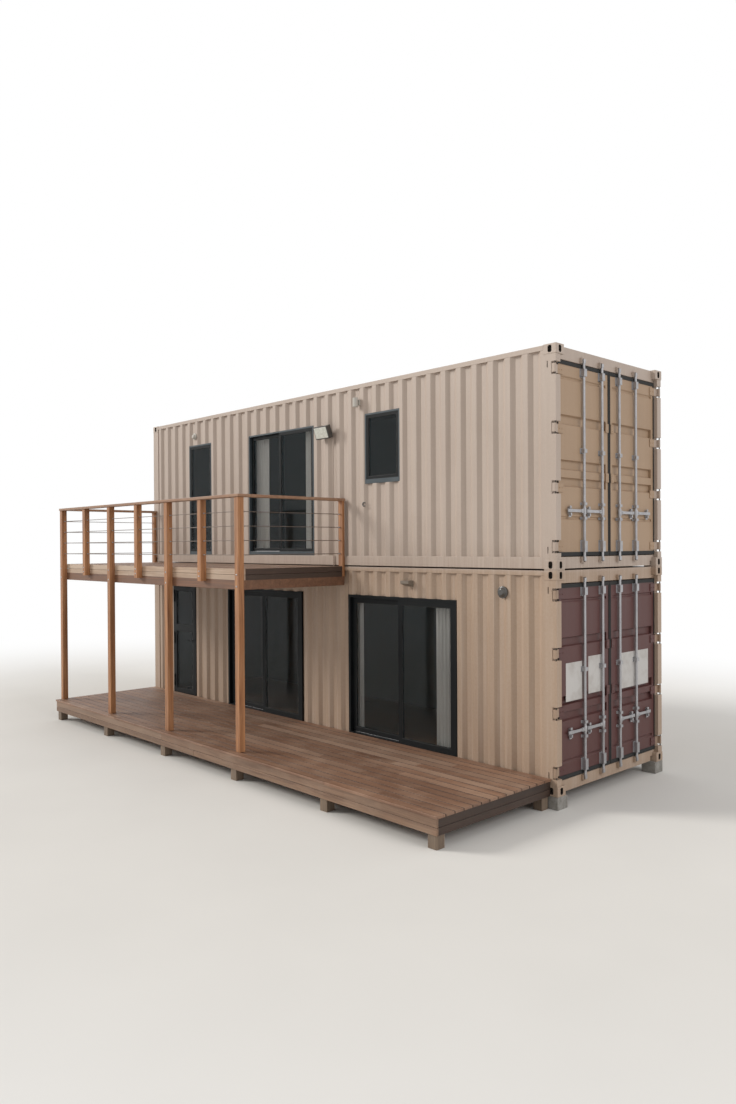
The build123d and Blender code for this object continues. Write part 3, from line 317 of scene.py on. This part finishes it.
# The lining is grey, far below white: painted shade of the dim room behind the glass
coated("white_lining", srgb(112, 108, 100), srgb(98, 94, 87), 0.7, 120.0, level=0.2)
coated("bronze", srgb(128, 118, 106), srgb(100, 90, 80))
coated("lamp_metal", srgb(58, 56, 54), srgb(92, 88, 83), 0.3, coat=0.5)
coated("pale_lamp", srgb(186, 182, 174), srgb(150, 145, 137))
metal("cable_steel", (0.26, 0.22, 0.19), (0.17, 0.14, 0.12), 0.4)
coated("placard_white", srgb(196, 193, 190), srgb(150, 140, 132), 0.55, 90.0)

f = Finish("concrete", srgb(150, 147, 142), 0.9)
f.color(f.mix(f.span(f.noise(9.0, detail=8, rough=0.7), 0.35, 0.7), srgb(158, 155, 150), srgb(112, 108, 102)))
f.bump(f.noise(60.0, detail=6), 0.5, 0.004)

f = Finish("clear_glass", (0.008, 0.011, 0.011), 0.03, IOR=1.5, Alpha=0.24, Specular_IOR_Level=0.5)
smear = f.noise(1.0, f.place(drawn_out("z", 1.2, 3)))
f.color(f.mix(f.span(smear, 0.5, 0.8, 0.0, 0.4), (0.010, 0.020, 0.024), (0.024, 0.034, 0.038)))
f.rough(f.span(f.noise(2.2, detail=5), 0.5, 0.8, 0.02, 0.08))

f = Finish("lamp_glass", (0.72, 0.73, 0.66), 0.25, IOR=1.45, Coat_Weight=0.5)
f.color(f.mix(f.span(f.noise(30.0), 0.3, 0.7), (0.74, 0.75, 0.68), (0.56, 0.57, 0.51)))
f.bump(f.cells(90.0), 0.3, 0.002)

f = Finish("curtain_cloth", srgb(222, 220, 214), 0.9, Sheen_Weight=0.25, Sheen_Roughness=0.6)
folds_shade = f.span(f.noise(1.0, f.place(drawn_out("z", 0.8, 30)), 3), 0.4, 0.7, 0.0, 0.6)
f.color(f.mix(folds_shade, srgb(240, 239, 235), srgb(214, 212, 207)))
f.bump(f.math("MULTIPLY", f.threads("X", 260), f.threads("Z", 260)), 0.25, 0.0008)

record_slots = {p["node"]: p["material_slot"] for p in frame["record"]["subparts"]}
special = {"balcony_handrails": "rail_timber", "balcony_beams": "beam_timber", "timber_joists": "pale_timber",
           "balcony_cables": "cable_steel", "upper_cargo_leaves": "leaf_paint", "deck_feet": "foot_timber"}
for name, obj in frame["nodes"].items():
    obj.data.materials.clear()
    obj.data.materials.append(materials[special.get(name, record_slots[name])])


# ---------------------------------------------------------------- mesh helpers
def put(name, data):
    """A new object in the scene."""
    ob = bpy.data.objects.new(name, data)
    bpy.context.scene.collection.objects.link(ob)
    return ob


def solid(name, bm, material):
    """A new object from a finished mesh, in one material."""
    me = bpy.data.meshes.new(name)
    bm.to_mesh(me)
    bm.free()
    me.materials.append(materials[material])
    return put(name, me)


def make(name, bm, material, body="root", smooth=False):
    """A piece of the part, on its body and in one material."""
    ob = solid(name, bm, material)
    for p in ob.data.polygons:
        p.use_smooth = smooth
    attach(ob, body)
    return ob


def toned():
    """A mesh whose vertices carry a shade for each board."""
    bm = bmesh.new()
    bm.verts.layers.float.new("tone")
    bm.verts.layers.float.new("bleach")
    return bm


def add(bm, shape):
    """Adds a shape made by itself, so that the order of the faces is the same each run."""
    me = bpy.data.meshes.new("shape")
    shape.to_mesh(me)
    shape.free()
    bm.from_mesh(me)
    bpy.data.meshes.remove(me)


def add_box(bm, lo, hi, bevel=0.0, tone=None, bleach=0.0, segments=1):
    """A box with eased edges, its vertices tagged with a shade."""
    box = bmesh.new() if tone is None else toned()
    bmesh.ops.create_cube(box, size=1.0)
    bmesh.ops.scale(box, vec=[b - a for a, b in zip(lo, hi)], verts=box.verts)
    bmesh.ops.translate(box, vec=[(a + b) / 2 for a, b in zip(lo, hi)], verts=box.verts)
    if bevel > 0:
        bmesh.ops.bevel(box, geom=box.edges, offset=bevel, segments=segments, affect="EDGES", profile=0.5)
    if tone is not None:
        for name, value in (("tone", tone), ("bleach", bleach)):
            layer = box.verts.layers.float.get(name)
            for v in box.verts:
                v[layer] = value
    add(bm, box)


disc_turns = {"x": Matrix.Rotation(math.pi / 2, 4, "Y"), "y": Matrix.Rotation(math.pi / 2, 4, "X")}


def add_disc(bm, centre, radius, depth, axis, sides, dome=0.0):
    """A bolt head or sleeve: a short prism along an axis, its outer face drawn in for a dome."""
    disc = bmesh.new()
    bmesh.ops.create_cone(
        disc, cap_ends=True, segments=sides, radius1=radius, radius2=radius * (1 - dome), depth=depth,
        matrix=Matrix.Translation(centre) @ disc_turns[axis])
    add(bm, disc)


def islands(node):
    """The box of each solid in a CAD node."""
    me = frame["nodes"][node].data
    co = np.array([v.co for v in me.vertices])
    key = {}
    first = np.zeros(len(co), int)
    for i, p in enumerate(np.round(co, 4)):
        first[i] = key.setdefault(tuple(p), i)
    root = list(range(len(co)))

    def find(a):
        while root[a] != a:
            root[a] = root[root[a]]
            a = root[a]
        return a

    for p in me.polygons:
        ids = [first[i] for i in p.vertices]
        for b in ids[1:]:
            root[find(b)] = find(ids[0])
    groups = {}
    for i in range(len(co)):
        groups.setdefault(find(first[i]), []).append(i)
    boxes = [(co[g].min(0), co[g].max(0)) for g in groups.values()]
    return sorted(boxes, key=lambda b: tuple(np.round(b[0], 3)))


# ---------------------------------------------------------------- boards
board_width, board_gap, board_ease = 0.135, 0.008, 0.0025
butt_gap = 0.003
# The least rest at the end of a row, and the first board's least share of a whole one
shortest_rest = 0.6
first_share = 0.4
# Where the fascia's two rows of boards part, and the sizes that tell its pieces apart
fascia_cut, fascia_gap, fascia_ease = 0.48, 0.004, 0.002
longest_fascia = 5.0
balcony_from = 2.0


def boards(name, node, lengths):
    """Boards along X in place of a CAD slab, butted over the joists in a broken pattern."""
    lo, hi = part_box(node)
    count = round((hi.y - lo.y + board_gap) / (board_width + board_gap))
    pitch = (hi.y - lo.y + board_gap) / count
    bm = toned()
    for row in range(count):
        y = lo.y + row * pitch
        x = lo.x
        step = rng.uniform(lengths[0] * first_share, lengths[1])
        while x < hi.x - 0.01:
            end = min(x + step, hi.x)
            if hi.x - end < shortest_rest:
                end = hi.x
            stop = end if end >= hi.x else end - butt_gap
            add_box(bm, (x, y, lo.z), (stop, y + pitch - board_gap, hi.z), board_ease, rng.random(), rng.random())
            x = end
            step = rng.uniform(*lengths)
    ob = make(name, bm, "deck_timber")
    # Painted shade: the long side faces inside the gaps between boards take the dark timber
    ob.data.materials.append(materials["board_edge"])
    for p in ob.data.polygons:
        if abs(p.normal.y) > 0.6 and lo.y + board_gap < p.center.y < hi.y - board_gap:
            p.material_index = 1
    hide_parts(node)


boards("deck_planks", "deck_boards", (2.4, 4.8))
boards("balcony_planks", "balcony_boards", (2.4, 3.6))

bm_front, bm_end, bm_high = toned(), toned(), toned()
for lo, hi in islands("timber_fascias"):
    along_x = hi[0] - lo[0] > hi[1] - lo[1]
    target = bm_end if not along_x else bm_high if lo[2] > balcony_from else bm_front
    cut = lo[2] + (hi[2] - lo[2]) * fascia_cut
    for foot, head in ((lo[2], cut - fascia_gap), (cut, hi[2])):
        pieces = [(lo[0], hi[0])]
        if along_x and hi[0] - lo[0] > longest_fascia:
            joint = lo[0] + (hi[0] - lo[0]) * rng.uniform(0.35, 0.65)
            pieces = [(lo[0], joint - butt_gap / 2), (joint + butt_gap / 2, hi[0])]
        for a, b in pieces:
            add_box(target, (a, lo[1], foot), (b, hi[1], head), fascia_ease, rng.random(), rng.random())
front_fascias = make("front_fascia_boards", bm_front, "fascia_timber")
# The boards across the ends take the dark timber as painted shade
make("end_fascia_boards", bm_end, "end_timber")
make("balcony_fascia_boards", bm_high, "weathered_timber")
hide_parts("timber_fascias")


# ---------------------------------------------------------------- eased edges and second materials
# Radius of the edges of each CAD node that is seen near enough
eased = {
    "balcony_posts": 0.005, "balcony_handrails": 0.005, "balcony_beams": 0.003, "deck_feet": 0.004,
    "corner_castings": 0.006, "footings": 0.006, "door_jambs": 0.0015, "door_heads_and_sills": 0.0015,
    "fixed_sashes": 0.0015, "main_slider_leaf": 0.0015, "wide_slider_leaf": 0.0015, "frame_rails": 0.005,
    "rod_keepers": 0.002, "upper_lock_rods": 0.004, "front_inner_rod": 0.004, "front_outer_rod": 0.004,
    "back_inner_rod": 0.004, "back_outer_rod": 0.004, "wall_lamps": 0.004, "wall_fittings": 0.002,
}
for node, radius in eased.items():
    weld = frame["nodes"][node].modifiers.new("weld", "WELD")
    weld.merge_threshold = 0.0002
    bev = frame["nodes"][node].modifiers.new("ease", "BEVEL")
    bev.width = radius
    bev.segments = 2
    bev.limit_method = "ANGLE"
    bev.angle_limit = math.radians(40)
    bev.harden_normals = False

# Places on the walls: the two lamps near the upper eaves, the lamp over the door, the conduit's end
eaves_lamps_from = 4.9
door_lamp_between = (2.0, 2.5)
conduit_until = 1.0
# How far the hinge blades reach in from a leaf's edge, and how deep the holes of a casting begin
blade_length = 0.115
casting_skin = 0.002


def repaint(node, material, wanted):
    """Gives some polygons of a CAD node a second material."""
    me = frame["nodes"][node].data
    me.materials.append(materials[material])
    for p in me.polygons:
        if wanted(p):
            p.material_index = len(me.materials) - 1


casting_boxes = islands("corner_castings")


def in_casting(p):
    """Whether a polygon lies in a hole of a corner casting."""
    return any(all(lo[i] + casting_skin < p.center[i] < hi[i] - casting_skin for i in range(3))
               for lo, hi in casting_boxes)


for node, material in (("upper_door_fittings", "upper_blade_paint"), ("front_door_fittings", "lower_blade_paint"),
                       ("back_door_fittings", "lower_blade_paint")):
    repaint(node, material, lambda p: abs(p.center.y - leaf_middle) > leaf_half - blade_length)
for node in ("door_jambs", "door_heads_and_sills"):
    repaint(node, "grey_aluminium", lambda p: p.center.z > upper_storey)
repaint("wall_lamps", "pale_lamp", lambda p: p.center.z > eaves_lamps_from)
repaint("wall_lamps", "bronze", lambda p: door_lamp_between[0] < p.center.x < door_lamp_between[1])
repaint("wall_fittings", "container_paint", lambda p: p.center.x < conduit_until)
# Painted shade: the faces inside the holes of the corner castings take dark steel
repaint("corner_castings", "dark_steel", in_casting)


# ---------------------------------------------------------------- curtains
fold_width = 0.06
cells_per_fold, cells_up = 14, 40
curtain_clear = 0.006


def gather(name, lo, hi, folds, depth, seed):
    """A curtain hanging in uneven folds, deeper at the foot than at the rail."""
    r = random.Random(seed)
    waves = folds * 2
    shift = [r.uniform(-0.3, 0.3) for _ in range(waves + 2)]
    deep = [r.uniform(0.55, 1.0) for _ in range(waves + 2)]
    across = folds * cells_per_fold
    tall = hi[2] - lo[2]
    middle = (lo[1] + hi[1]) / 2
    bm = bmesh.new()
    grid = []
    for j in range(cells_up + 1):
        v = j / cells_up
        row = []
        for i in range(across + 1):
            u = i / across
            k = u * waves
            a = min(int(k), waves - 1)
            t = k - a
            wave = math.sin(math.pi * (k + shift[a] * (1 - t) * 0.5 + shift[a + 1] * t * 0.5))
            size = (deep[a] * (1 - t) + deep[a + 1] * t) * (0.45 + 0.55 * (1 - v) ** 0.6)
            x = lo[0] + u * (hi[0] - lo[0]) + math.sin(k * 2.1 + v * 3) * 0.004 * (1 - v)
            x = min(max(x, lo[0]), hi[0])
            row.append(bm.verts.new((x, middle + wave * depth * size * 0.5, lo[2] + v * tall)))
        grid.append(row)
    for below, above in zip(grid, grid[1:]):
        for i in range(across):
            bm.faces.new((below[i], below[i + 1], above[i + 1], above[i]))
    area = sum(fc.calc_area() for fc in bm.faces)
    ob = make(name, bm, "curtain_cloth", smooth=True)
    return ob


for n, (lo, hi) in enumerate(islands("curtains")):
    folds = max(3, round((hi[0] - lo[0]) / fold_width))
    gather(f"curtain_{n}", lo, hi, folds, hi[1] - lo[1] - curtain_clear, 20 + n)
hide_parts("curtains")


# ---------------------------------------------------------------- glazing beads
bead_depth, bead_width, bead_ease = 0.004, 0.010, 0.001
bead_clear = 0.0002


def beads(name, node, body):
    """A rubber gasket round each pane, on both faces of the glass."""
    bm = bmesh.new()
    for lo, hi in islands(node):
        x = (lo[0], lo[0] + bead_width, hi[0] - bead_width, hi[0])
        z = (lo[2], lo[2] + bead_width, hi[2] - bead_width, hi[2])
        for y in ((lo[1] - bead_depth, lo[1] - bead_clear), (hi[1] + bead_clear, hi[1] + bead_depth)):
            # The foot, the head and the two sides between them
            for x0, x1, z0, z1 in ((0, 3, 0, 1), (0, 3, 2, 3), (0, 1, 1, 2), (2, 3, 1, 2)):
                add_box(bm, (x[x0], y[0], z[z0]), (x[x1], y[1], z[z1]), bead_ease)
    make(name, bm, "black_rubber", body)


beads("fixed_glass_beads", "fixed_glass", "root")
beads("hinged_glass_beads", "hinged_door_glass", "hinged_door")
beads("wide_glass_beads", "wide_slider_glass", "wide_slider")
beads("main_glass_beads", "main_slider_glass", "main_slider")


# ---------------------------------------------------------------- fixings of the balcony
post_bolt_radius, post_bolt_height, post_bolt_sides, post_bolt_dome = 0.014, 0.006, 16, 0.35
# Bolt heights from the beam's underside and the balcony's floor on a deep post, from the floor on a short one
deep_post_bolts, short_post_bolts = (0.045, -0.075), (-0.045, -0.115)
sleeve_radius, sleeve_length, sleeve_inset, sleeve_sides = 0.0075, 0.036, 0.020, 10

bm = bmesh.new()
beam_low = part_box("balcony_beams")[0].z
floor_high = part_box("balcony_boards")[1]
for lo, hi in islands("balcony_posts"):
    if hi[1] > floor_high.y - 0.001:
        continue
    if lo[2] < beam_low:
        heights = beam_low + deep_post_bolts[0], floor_high.z + deep_post_bolts[1]
    else:
        heights = [floor_high.z + drop for drop in short_post_bolts]
    for z in heights:
        centre = ((lo[0] + hi[0]) / 2, lo[1] - post_bolt_height / 2, z)
        add_disc(bm, centre, post_bolt_radius, post_bolt_height, "y", post_bolt_sides, post_bolt_dome)
make("post_bolts", bm, "galvanised_steel", smooth=True)

bm = bmesh.new()
for lo, hi in islands("balcony_cables"):
    run = 0 if hi[0] - lo[0] > hi[1] - lo[1] else 1
    for end in (lo[run] + sleeve_inset, hi[run] - sleeve_inset):
        centre = (lo + hi) / 2
        centre[run] = end
        add_disc(bm, centre, sleeve_radius, sleeve_length, "xy"[run], sleeve_sides)
make("cable_ends", bm, "galvanised_steel", smooth=True)


# ---------------------------------------------------------------- placards on the lower cargo doors
placard_height, placard_sunk, placard_proud, placard_ease = 0.45, 0.0028, 0.002, 0.0008


def placards(name, node, body, spans):
    """Blank plates on the sheet of one leaf: shares of its width, and the height of each one's foot."""
    lo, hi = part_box(node)
    wide = hi.y - lo.y
    bm = bmesh.new()
    for a, b, foot in spans:
        add_box(bm, (hi.x - placard_sunk, lo.y + wide * a, foot),
                (hi.x + placard_proud, lo.y + wide * b, foot + placard_height), placard_ease)
    make(name, bm, "placard_white", body)


placards("front_placards", "front_cargo_leaf", "front_cargo_door", ((0.14, 0.45, 1.20), (0.57, 0.84, 1.24)))
placards("back_placards", "back_cargo_leaf", "back_cargo_door", ((0.25, 0.56, 1.21), (0.58, 0.85, 1.21)))


# ---------------------------------------------------------------- cargo door details
hub_radius = 0.024
x_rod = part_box("front_inner_rod")[1].x - hub_radius
plate_ease = 0.001
# The brackets above and below each handle hub
bracket_rise, bracket_half = 0.085, 0.017
cheek_place, cheek_half, cheek_proud = 0.0245, 0.0045, 0.0215
tab_place, tab_half, tab_thick = 0.038, 0.009, 0.004
cap_half, cap_proud = 0.029, (0.0185, 0.0225)
# The catch that holds the handle: heights over the sheet, half width, heights over the handle, easing
catch_place = 0.290
catch_boxes = (((0.0182, 0.0225), 0.024, (-0.078, -0.024), 0.001),
               ((0.0225, 0.044), 0.012, (-0.060, -0.026), 0.002),
               ((0.0182, 0.036), 0.018, (0.024, 0.056), 0.003))
catch_bolt_rise = 0.040
# Widths that tell a rod guide and a hinge blade from the other fittings of a leaf
guide_widths = (0.055, 0.065)
blade_from = 0.09
guide_plate_margin, guide_plate_thick = (0.016, 0.010), 0.004
guide_bolt_out, guide_bolt_in = 0.009, 0.006
# The plain plates by the leaf's meeting edge, and the shares of its height at which they stand
plain_span, plain_half, plain_thick, plain_bolt_rise = (0.024, 0.088), 0.055, 0.017, 0.03
lower_plain, upper_plain = (0.41, 0.66), (0.42, 0.69)
plain_ease = 0.003
blade_bolt_places = (0.030, 0.085)
# The hinge side's black strip, a gasket and a painted shadow of the gap: width, thickness, end margin and gap at
# each blade
gasket_width, gasket_thick, gasket_end, gasket_gap = 0.020, 0.006, 0.046, 0.003
# Bolts: the middle's height over the sheet or the rod's axis, radius, length, sides and dome
tab_bolt = (0.006, 0.006, 0.005, 8, 0.2)
catch_bolt = (0.038, 0.009, 0.006, 12, 0.3)
guide_bolt = (0.0055, 0.0055, 0.005, 8, 0.2)
plain_bolt = (0.019, 0.008, 0.006, 8, 0.3)
blade_bolt = (0.012, 0.011, 0.006, 10, 0.35)
hub_bolt = (0.014, 0.010, 0.006, 12, 0.3)


def leaf_side(lo, hi):
    """1 for a box on the back leaf's side of the middle, -1 on the front leaf's."""
    return 1 if (lo[1] + hi[1]) / 2 > leaf_middle else -1


def plate(bm, x, y, half, z, bevel=plate_ease):
    """A box between two X and two Z, as far to both sides of a Y."""
    add_box(bm, (x[0], y - half, z[0]), (x[1], y + half, z[1]), bevel)


def bolt(bm, kind, x, y, z):
    """One bolt head that looks to the cargo end, over a sheet or an axis at X."""
    over, radius, length, sides, dome = kind
    add_disc(bm, (x + over, y, z), radius, length, "x", sides, dome)


def lock_details(name, body, leaf, rods, fittings, painted_in, plain):
    """Brackets, latches, plates and bolts that a leaf carries, and the black gasket at its hinge side, which is
    also a painted shadow of the gap between leaf and post.
    """
    lo, hi = leaf
    face = hi.x
    steel, painted, rubber = bmesh.new(), bmesh.new(), bmesh.new()
    for axis_y, out, handle_z in rods:
        for middle in (handle_z - bracket_rise, handle_z + bracket_rise):
            z = (middle - bracket_half, middle + bracket_half)
            for s in (-1, 1):
                tab = axis_y + s * tab_place
                plate(steel, (face, x_rod + cheek_proud), axis_y + s * cheek_place, cheek_half, z)
                plate(steel, (face, face + tab_thick), tab, tab_half, z)
                bolt(steel, tab_bolt, face, tab, middle)
            plate(steel, (x_rod + cap_proud[0], x_rod + cap_proud[1]), axis_y, cap_half, z)
        catch = axis_y + out * catch_place
        for x, half, z, bevel in catch_boxes:
            plate(steel, (face + x[0], face + x[1]), catch, half, (handle_z + z[0], handle_z + z[1]), bevel)
        bolt(steel, catch_bolt, face, catch, handle_z + catch_bolt_rise)
    for a, b in fittings:
        if not guide_widths[0] <= b[1] - a[1] <= guide_widths[1]:
            continue
        aside, over = guide_plate_margin
        add_box(steel, (face, a[1] - aside, a[2] - over), (face + guide_plate_thick, b[1] + aside, b[2] + over),
                plate_ease)
        for y in (a[1] - guide_bolt_out, b[1] + guide_bolt_out):
            for z in (a[2] + guide_bolt_in, b[2] - guide_bolt_in):
                bolt(steel, guide_bolt, face, y, z)
    side = leaf_side(lo, hi)
    meeting, edge = (lo.y, hi.y) if side > 0 else (hi.y, lo.y)
    for share in plain:
        z = lo.z + share * (hi.z - lo.z)
        y = sorted(meeting + side * place for place in plain_span)
        add_box(painted, (face, y[0], z - plain_half), (face + plain_thick, y[1], z + plain_half), plain_ease)
        for rise in (-plain_bolt_rise, plain_bolt_rise):
            bolt(painted, plain_bolt, face, sum(y) / 2, z + rise)
    blades = [box for box in fittings if box[1][1] - box[0][1] > blade_from]
    spans, start = [], lo.z + gasket_end
    for a, b in sorted(blades, key=lambda box: box[0][2]):
        spans.append((start, a[2] - gasket_gap))
        start = b[2] + gasket_gap
        for place in blade_bolt_places:
            bolt(painted, blade_bolt, face, edge - side * place, (a[2] + b[2]) / 2)
    spans.append((start, hi.z - gasket_end))
    # The black rubber strip at the hinge edge: a gasket, and also a painted shadow of the gap between leaf and
    # post
    y = sorted((edge, edge - side * gasket_width))
    for a, b in spans:
        add_box(rubber, (face, y[0], a), (face + gasket_thick, y[1], b), plate_ease)
    make(f"{name}_lock_brackets", steel, "galvanised_steel", body)
    make(f"{name}_plates", painted, painted_in, body)
    make(f"{name}_edge_gasket_and_shadow", rubber, "black_rubber", body)


def rod_place(lo, hi, out, node):
    """Axis, handle direction and handle height of one lock rod."""
    tip = hi[1] if out > 0 else lo[1]
    axis = lo[1] + hub_radius if out > 0 else hi[1] - hub_radius
    me = frame["nodes"][node].data
    zs = [v.co.z for v in me.vertices if abs(v.co.y - tip) < 0.001 and abs(v.co.x - x_rod) < 0.02]
    return axis, out, (min(zs) + max(zs)) / 2


grips = {}
for side_name, out in (("front", -1), ("back", 1)):
    rods = []
    for place in ("inner", "outer"):
        node = f"{side_name}_{place}_rod"
        rods.append(rod_place(*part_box(node), out, node))
        grips[node] = rods[-1]
    lock_details(side_name, f"{side_name}_cargo_door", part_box(f"{side_name}_cargo_leaf"), rods,
                 islands(f"{side_name}_door_fittings"), "maroon_paint", lower_plain)
upper_rods = []
for lo, hi in islands("upper_lock_rods"):
    upper_rods.append(rod_place(lo, hi, leaf_side(lo, hi), "upper_lock_rods"))
for lo, hi in sorted(islands("upper_cargo_leaves"), key=lambda box: box[0][1]):
    side = leaf_side(lo, hi)
    lock_details("upper_back" if side > 0 else "upper_front", "root", (Vector(lo), Vector(hi)),
                 [rod for rod in upper_rods if rod[1] == side],
                 [box for box in islands("upper_door_fittings") if leaf_side(*box) == side],
                 "leaf_paint", upper_plain)

# Grips and hub cheeks: spans outwards from the rod's axis, depths over it, half heights and easing
grip_span, grip_x, grip_half, grip_ease = (0.250, 0.349), (-0.0075, 0.0095), 0.020, 0.004
hub_span, hub_x, hub_half, hub_ease = (0.026, 0.070), (-0.009, 0.012), 0.023, 0.003
hub_bolt_place = 0.048


def grip(name, body, places):
    """The flat grip, the cheek on the hub and its bolt, for each handle."""
    bm = bmesh.new()
    for axis, out, z in places:
        y = sorted(axis + out * place for place in grip_span)
        add_box(bm, (x_rod + grip_x[0], y[0], z - grip_half), (x_rod + grip_x[1], y[1], z + grip_half),
                grip_ease, segments=2)
        y = sorted(axis + out * place for place in hub_span)
        add_box(bm, (x_rod + hub_x[0], y[0], z - hub_half), (x_rod + hub_x[1], y[1], z + hub_half), hub_ease)
        bolt(bm, hub_bolt, x_rod, axis + out * hub_bolt_place, z)
    make(name, bm, "galvanised_steel", body)


for node, place in grips.items():
    grip(f"{node}_grip", node.replace("_rod", "_lock"), [place])
grip("upper_grips", "root", upper_rods)


# ---------------------------------------------------------------- the flood lamp's glass
flood_lamp_from = 0.25
flood_stand_off, flood_height, flood_tilt = 0.085, 4.706, 20

flood_low, flood_high = [box for box in islands("wall_lamps") if box[1][0] - box[0][0] > flood_lamp_from][-1]
centre = ((flood_low[0] + flood_high[0]) / 2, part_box("deck_boards")[1].y - flood_stand_off, flood_height)
bm = bmesh.new()
# The pane and the bar across it
add_box(bm, (-0.135, -0.046, -0.080), (0.135, -0.0402, 0.080), 0.003)
add_box(bm, (-0.075, -0.050, -0.006), (0.075, -0.046, 0.006))
bmesh.ops.transform(bm, matrix=Matrix.Translation(centre) @ Matrix.Rotation(math.radians(flood_tilt), 4, "X"),
                    verts=bm.verts)
make("flood_lamp_glass", bm, "lamp_glass")


# ---------------------------------------------------------------- floor, light, camera
floor_radius = 90
floor_fade = (4.5, 15.0)
floor_squeeze = (0.8, 1.0, 0.0)


def seen_rays(tree):
    """1 for what the camera sees, straight, in a gloss or through glass."""
    path = tree.nodes.new("ShaderNodeLightPath")
    value = path.outputs["Is Camera Ray"]
    for other in ("Is Glossy Ray", "Is Transmission Ray"):
        most = tree.nodes.new("ShaderNodeMath")
        most.operation = "MAXIMUM"
        tree.links.new(value, most.inputs[0])
        tree.links.new(path.outputs[other], most.inputs[1])
        value = most.outputs[0]
    return value


def stage():
    """A pale floor that fades into the white backdrop away from the object."""
    f = Finish("stage_floor", srgb(222, 220, 216), 0.9)
    f.color(f.mix(f.span(f.noise(0.35, detail=3), 0.3, 0.7), srgb(224, 222, 218), srgb(219, 217, 213)))
    white = f.node("ShaderNodeEmission")
    white.inputs["Color"].default_value = (1, 1, 1, 1)
    white.inputs["Strength"].default_value = 1.0
    flat = f.node("ShaderNodeVectorMath", operation="MULTIPLY")
    flat.inputs[1].default_value = floor_squeeze
    f.join(f.spot, flat.inputs[0])
    reach = f.node("ShaderNodeVectorMath", operation="LENGTH")
    f.join(flat.outputs[0], reach.inputs[0])
    far = f.node("ShaderNodeMapRange", clamp=True, interpolation_type="SMOOTHERSTEP")
    far.inputs["From Min"].default_value, far.inputs["From Max"].default_value = floor_fade
    f.join(reach.outputs["Value"], far.inputs["Value"])
    both = f.node("ShaderNodeMixShader")
    f.join(f.math("MULTIPLY", far.outputs[0], seen_rays(f.tree)), both.inputs[0])
    f.join(f.bsdf.outputs[0], both.inputs[1])
    f.join(white.outputs[0], both.inputs[2])
    f.join(both.outputs[0], f.out.inputs["Surface"])
    bm = bmesh.new()
    bmesh.ops.create_circle(bm, cap_ends=True, cap_tris=True, segments=96, radius=floor_radius)
    solid("stage_floor", bm, "stage_floor")


stage()

world = bpy.data.worlds.new("studio")
bpy.context.scene.world = world
world.use_nodes = True
sky = world.node_tree
sky.nodes.clear()
either = sky.nodes.new("ShaderNodeMixShader")
sky.links.new(seen_rays(sky), either.inputs[0])
# Input 1 lights the object, input 2 is the backdrop that is seen
for socket, color, strength in ((1, (1.0, 0.985, 0.965, 1), 0.62), (2, (1.0, 1.0, 1.0, 1), 1.0)):
    glow = sky.nodes.new("ShaderNodeBackground")
    glow.inputs["Color"].default_value = color
    glow.inputs["Strength"].default_value = strength
    sky.links.new(glow.outputs[0], either.inputs[socket])
sky.links.new(either.outputs[0], sky.nodes.new("ShaderNodeOutputWorld").inputs["Surface"])


def sun(name, toward, strength, angle, color):
    """A soft sun that shines along a direction, its angle in degrees."""
    data = bpy.data.lights.new(name, "SUN")
    data.energy = strength
    data.angle = math.radians(angle)
    data.color = color
    ob = put(name, data)
    ob.rotation_mode = "QUATERNION"
    ob.rotation_quaternion = Vector(toward).to_track_quat("-Z", "Y")


sun("key", (0.85, 0.66, -0.55), 1.95, 18, (1.0, 0.97, 0.92))
sun("fill", (-0.90, -0.10, -0.60), 0.72, 25, (0.98, 0.98, 1.0))

# The photo's view: the fitted focal length in pixels, the turns and the eye, and where the fit's origin lies
focal_length, photo_height, sensor = 844.88, 1104.0, 36.0
yaw, pitch, roll = -0.8156018, -0.0073504, -0.0057472
eye = (5.51578, -8.13840, 2.88295)
fit_origin = (4.5625, -0.244, 0.150)

camera_data = bpy.data.cameras.new("photo_view")
camera_data.sensor_fit = "AUTO"
camera_data.sensor_width = sensor
camera_data.lens = focal_length * sensor / photo_height
camera_data.clip_end = 400
camera = put("photo_view", camera_data)
look = Vector((math.sin(yaw) * math.cos(pitch), math.cos(yaw) * math.cos(pitch), math.sin(pitch)))
side = Vector((math.cos(yaw), -math.sin(yaw), 0.0))
top = side.cross(look)
right = side * math.cos(roll) + top * math.sin(roll)
up = top * math.cos(roll) - side * math.sin(roll)
turn = Matrix((right, up, -look)).transposed().to_4x4()
camera.matrix_world = Matrix.Translation([a + b for a, b in zip(eye, fit_origin)]) @ turn
bpy.context.scene.camera = camera
bpy.context.scene.view_settings.view_transform = "Standard"
